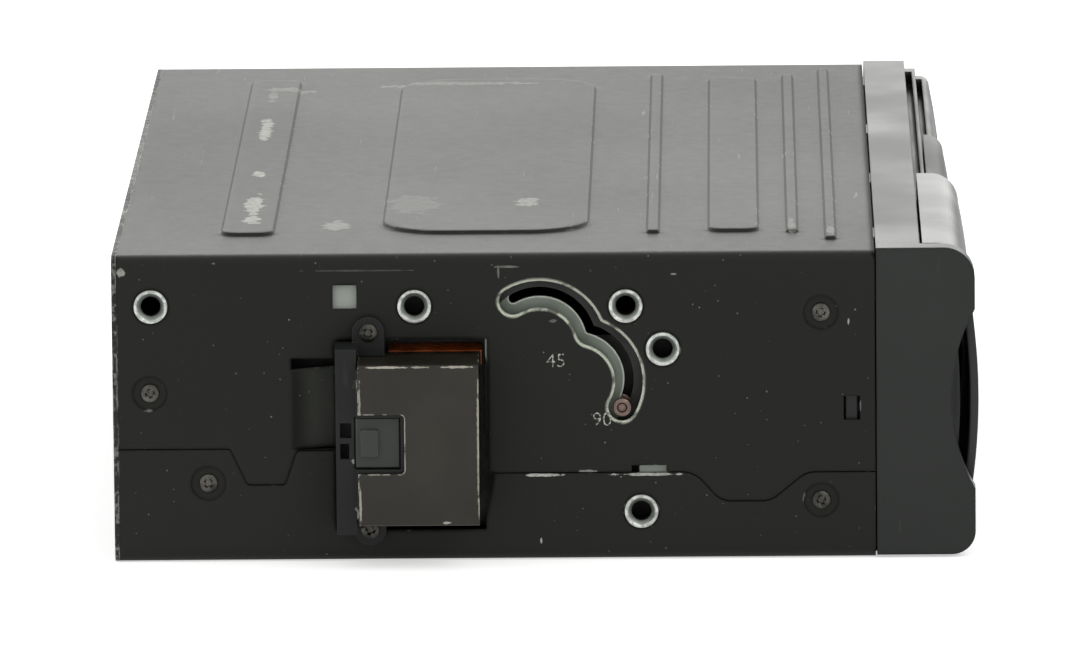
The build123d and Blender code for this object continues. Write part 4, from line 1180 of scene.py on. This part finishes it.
@dataclass
class ButtonSpring:
    """Round-wire return spring for the eject button."""

    palette: Palette
    wire_r: float = 0.3
    turns: float = 6.0
    closed: float = 0.9
    steps: int = 28
    sides: int = 8
    travel: float = 2.5
    slack: float = 0.01

    def build(self) -> None:
        """Winds the spring in its node's box and stands it for that node."""
        low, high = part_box("button_spring")
        free, wire = high[1] - low[1], self.wire_r * MM
        middle, reach = (Vector(low) + Vector(high)) / 2, (high[0] - low[0]) / 2 - wire
        bm = bmesh.new()
        rings = []
        count = int(self.turns * self.steps)
        for n in range(count + 1):
            turn = n / self.steps
            share = min(max((turn - self.closed) / (self.turns - 2 * self.closed), 0.0), 1.0)
            angle = 2 * pi * turn
            out = Vector((cos(angle), 0, sin(angle)))
            spot = Vector((middle.x, low[1] + wire + (free - 2 * wire) * share, middle.z)) + out * reach
            ring = []
            for side in range(self.sides):
                around = 2 * pi * side / self.sides
                off = out * cos(around) + Vector((0, sin(around), 0))
                ring.append(bm.verts.new(spot + off * self.wire_r * MM))
            rings.append(ring)
        skin(bm, rings, self.sides)
        bm.faces.new(rings[0][::-1])
        bm.faces.new(rings[-1])
        piece = add_mesh("return_spring", bm, self.palette.materials["spring_steel"], 50.0)
        settle(piece, "chassis", "spring_steel", "button_spring")
        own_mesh(piece)


@dataclass
class FilmSheet:
    """Orange film over the guard's top, tilted up into the case, with its front leg."""

    bench: Bench
    palette: Palette
    span: Pair = (57.9, 77.45)
    section: tuple[Pair, ...] = ((4.6, 44.05), (6.4, 44.2), (8.2, 44.45), (10.0, 44.75))
    thick: float = 0.25
    leg: float = 3.0
    steps: int = 12
    wave: Pair = (0.12, 1.7)

    def build(self) -> None:
        """Makes the film as one bent sheet that stands for its node."""
        bm = bmesh.new()
        s0, s1 = self.span
        height, beat = self.wave
        rows = []
        for w, z in self.section:
            spots = [(s0 + (s1 - s0) * n / self.steps, z + height * sin(n * beat)) for n in range(self.steps)]
            spots += [(s1, z), (s1, z - self.leg)]
            rows.append([bm.verts.new(self.bench.at(w, *spot)) for spot in spots])
        for a, b in zip(rows, rows[1:]):
            for n in range(len(a) - 1):
                bm.faces.new((a[n], a[n + 1], b[n + 1], b[n]))
        bmesh.ops.recalc_face_normals(bm, faces=bm.faces)
        bmesh.ops.solidify(bm, geom=bm.faces[:], thickness=self.thick * MM)
        piece = add_mesh("film_sheet", bm, self.palette.materials["amber_sheet"])
        settle(piece, "chassis", "amber_sheet", "insulation_sheet")


@dataclass
class PinCap:
    """Turned face of the selector pin, with its centre dimple."""

    bench: Bench
    palette: Palette
    side: Side
    place: Pair = (106.9, 32.5)
    face: float = -0.3
    profile: tuple[Pair, ...] = (
        (0, -0.4), (1.88, -0.4), (1.88, 0.0), (1.68, 0.16), (1.1, 0.18), (1.0, 0.0), (0.85, 0.0),
        (0.75, 0.16), (0.58, 0.16), (0.42, -0.34), (0, -0.36),
    )

    def build(self) -> None:
        """Makes the cap, riding on its selector."""
        bm = bmesh.new()
        lathe(bm, self.profile, outward(self.bench.side(self.side, self.face, *self.place), self.side))
        piece = add_mesh(f"pin_cap_{self.side.value}", bm, self.palette.materials["copper_pin"], 20.0)
        settle(piece, f"selector_{self.side.value}", "copper_pin")


@dataclass
class DialMarks:
    """Plain numbers scratched beside the selector's notches."""

    bench: Bench
    palette: Palette
    marks: tuple[tuple[str, float, float], ...] = (("45", 91.0, 41.2), ("90", 100.6, 28.6))
    size: float = 4.185
    raised: float = 0.02
    thinned: float = 0.06

    def build(self) -> None:
        """Makes one flat number at each place on the left wall."""
        for text, s, z in self.marks:
            curve = bpy.data.curves.new(f"mark_{text}", "FONT")
            curve.body = text
            curve.size = self.size * MM
            curve.extrude = self.raised * MM
            curve.offset = -self.thinned * MM
            piece = link(f"mark_{text}", curve)
            turn = Matrix(((0, 0, -1), (-1, 0, 0), (0, 1, 0))).to_4x4()
            piece.matrix_world = Matrix.Translation(self.bench.at(-self.raised, s, z)) @ turn
            curve.materials.append(self.palette.materials["mark"])
            settle(piece, "chassis", "zinc")


# ---- studio


@dataclass
class Studio:
    """White surroundings, soft lamps and the photograph's camera."""

    bench: Bench
    eye: Point = (-2817.34, 130.15, 558.01)
    forward: Point = (0.984068, 0.014080, -0.177234)
    roll: float = -0.5461
    lens: float = 455.26
    sensor: float = 36.0
    light: float = 0.7
    ground: float = 6.0
    drop: float = 0.00005
    white: Colour = (0.93, 0.93, 0.93)
    glow: float = 0.5
    tint: Colour = (1.0, 1.0, 0.955)
    aim: Point = (0, 0, 0.03)
    lamp_set: tuple[tuple[str, Point, float, float], ...] = (
        ("key", (-0.9, -1.2, 1.6), 8.5, 1.4), ("fill", (-1.2, 1.3, 1.2), 5.5, 1.6),
        ("sweep", (1.9, 0.1, 0.62), 11.0, 2.0),
    )

    def camera(self) -> None:
        """Stands the camera where the photograph was taken from."""
        data = bpy.data.cameras.new("camera")
        data.lens = self.lens
        data.sensor_width = self.sensor
        data.sensor_fit = "HORIZONTAL"
        camera = link("camera", data)
        forward = Vector(self.forward).normalized()
        right = forward.cross(Vector((0, 0, 1))).normalized()
        up = right.cross(forward)
        tilt = radians(self.roll)
        across = right * cos(tilt) + up * sin(tilt)
        above = up * cos(tilt) - right * sin(tilt)
        turn = Matrix((across, above, -forward)).transposed().to_4x4()
        camera.matrix_world = Matrix.Translation(self.bench.at(*self.eye)) @ turn
        bpy.context.scene.camera = camera

    def surroundings(self) -> None:
        """Makes a world that shows white, and lights the object at a lower level."""
        world = bpy.data.worlds.new("surroundings")
        world.use_nodes = True
        tree = world.node_tree
        path = tree.nodes.new("ShaderNodeLightPath")
        seen = path.outputs["Is Camera Ray"]
        for ray in ("Is Glossy Ray", "Is Transmission Ray"):
            either = tree.nodes.new("ShaderNodeMath")
            either.operation = "MAXIMUM"
            tree.links.new(seen, either.inputs[0])
            tree.links.new(path.outputs[ray], either.inputs[1])
            seen = either.outputs[0]
        level = tree.nodes.new("ShaderNodeMapRange")
        level.inputs["To Min"].default_value = self.light
        level.inputs["To Max"].default_value = 1.0
        tree.links.new(seen, level.inputs["Value"])
        tree.links.new(level.outputs[0], tree.nodes["Background"].inputs["Strength"])
        tree.nodes["Background"].inputs["Color"].default_value = (1, 1, 1, 1)
        bpy.context.scene.world = world

    def floor(self) -> None:
        """Lays a white floor that keeps the contact shadow."""
        bm = bmesh.new()
        far = self.ground
        corners = [(-far, -far), (far, -far), (far, far), (-far, far)]
        bm.faces.new([bm.verts.new(Vector((*corner, -self.drop))) for corner in corners])
        g = Graph("floor")
        g.set(Base_Color=self.white, Roughness=0.9)
        path = g.add("LightPath")
        glow = g.math("MAXIMUM", path.outputs["Is Camera Ray"], path.outputs["Is Glossy Ray"])
        g.set(Emission_Color=(1.0, 1.0, 1.0), Emission_Strength=g.times(glow, self.glow))
        add_mesh("floor", bm, g.material)

    def lamps(self) -> None:
        """Hangs the large soft lamps round the object."""
        for name, place, power, size in self.lamp_set:
            data = bpy.data.lights.new(name, "AREA")
            data.energy = power
            data.size = size
            data.color = self.tint
            lamp = link(name, data)
            lamp.location = place
            lamp.rotation_euler = (Vector(self.aim) - lamp.location).to_track_quat("-Z", "Y").to_euler()

    def build(self) -> None:
        """Sets up everything round the object."""
        self.camera()
        self.surroundings()
        self.floor()
        self.lamps()
        bpy.context.scene.view_settings.view_transform = "Standard"


def main() -> None:
    """Builds the dressed changer in order."""
    logging.basicConfig(level=logging.INFO, format="%(message)s")
    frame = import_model()
    bench = Bench.from_frame()
    palette = Palette(bench)
    palette.dress(frame)
    Studio(bench).build()
    for side in Side:
        label = side.value
        CrossScrews(bench, palette, f"cover_screw_heads_{label}", f"cover_screws_{label}", side, COVER_SEAT,
                    COVER_SCREWS).build()
        MountBushes(bench, palette, side).build()
        PinCap(bench, palette, side).build()
    CrossScrews(bench, palette, "ear_screw_heads", "connector_screws", Side.LEFT, EAR_SEAT,
                EAR_SCREWS, turn=EAR_TURN).build()
    Slips(bench, palette).build()
    FilmSheet(bench, palette).build()
    ButtonSpring(palette).build()
    DialMarks(bench, palette).build()


if __name__ == "__main__":
    main()
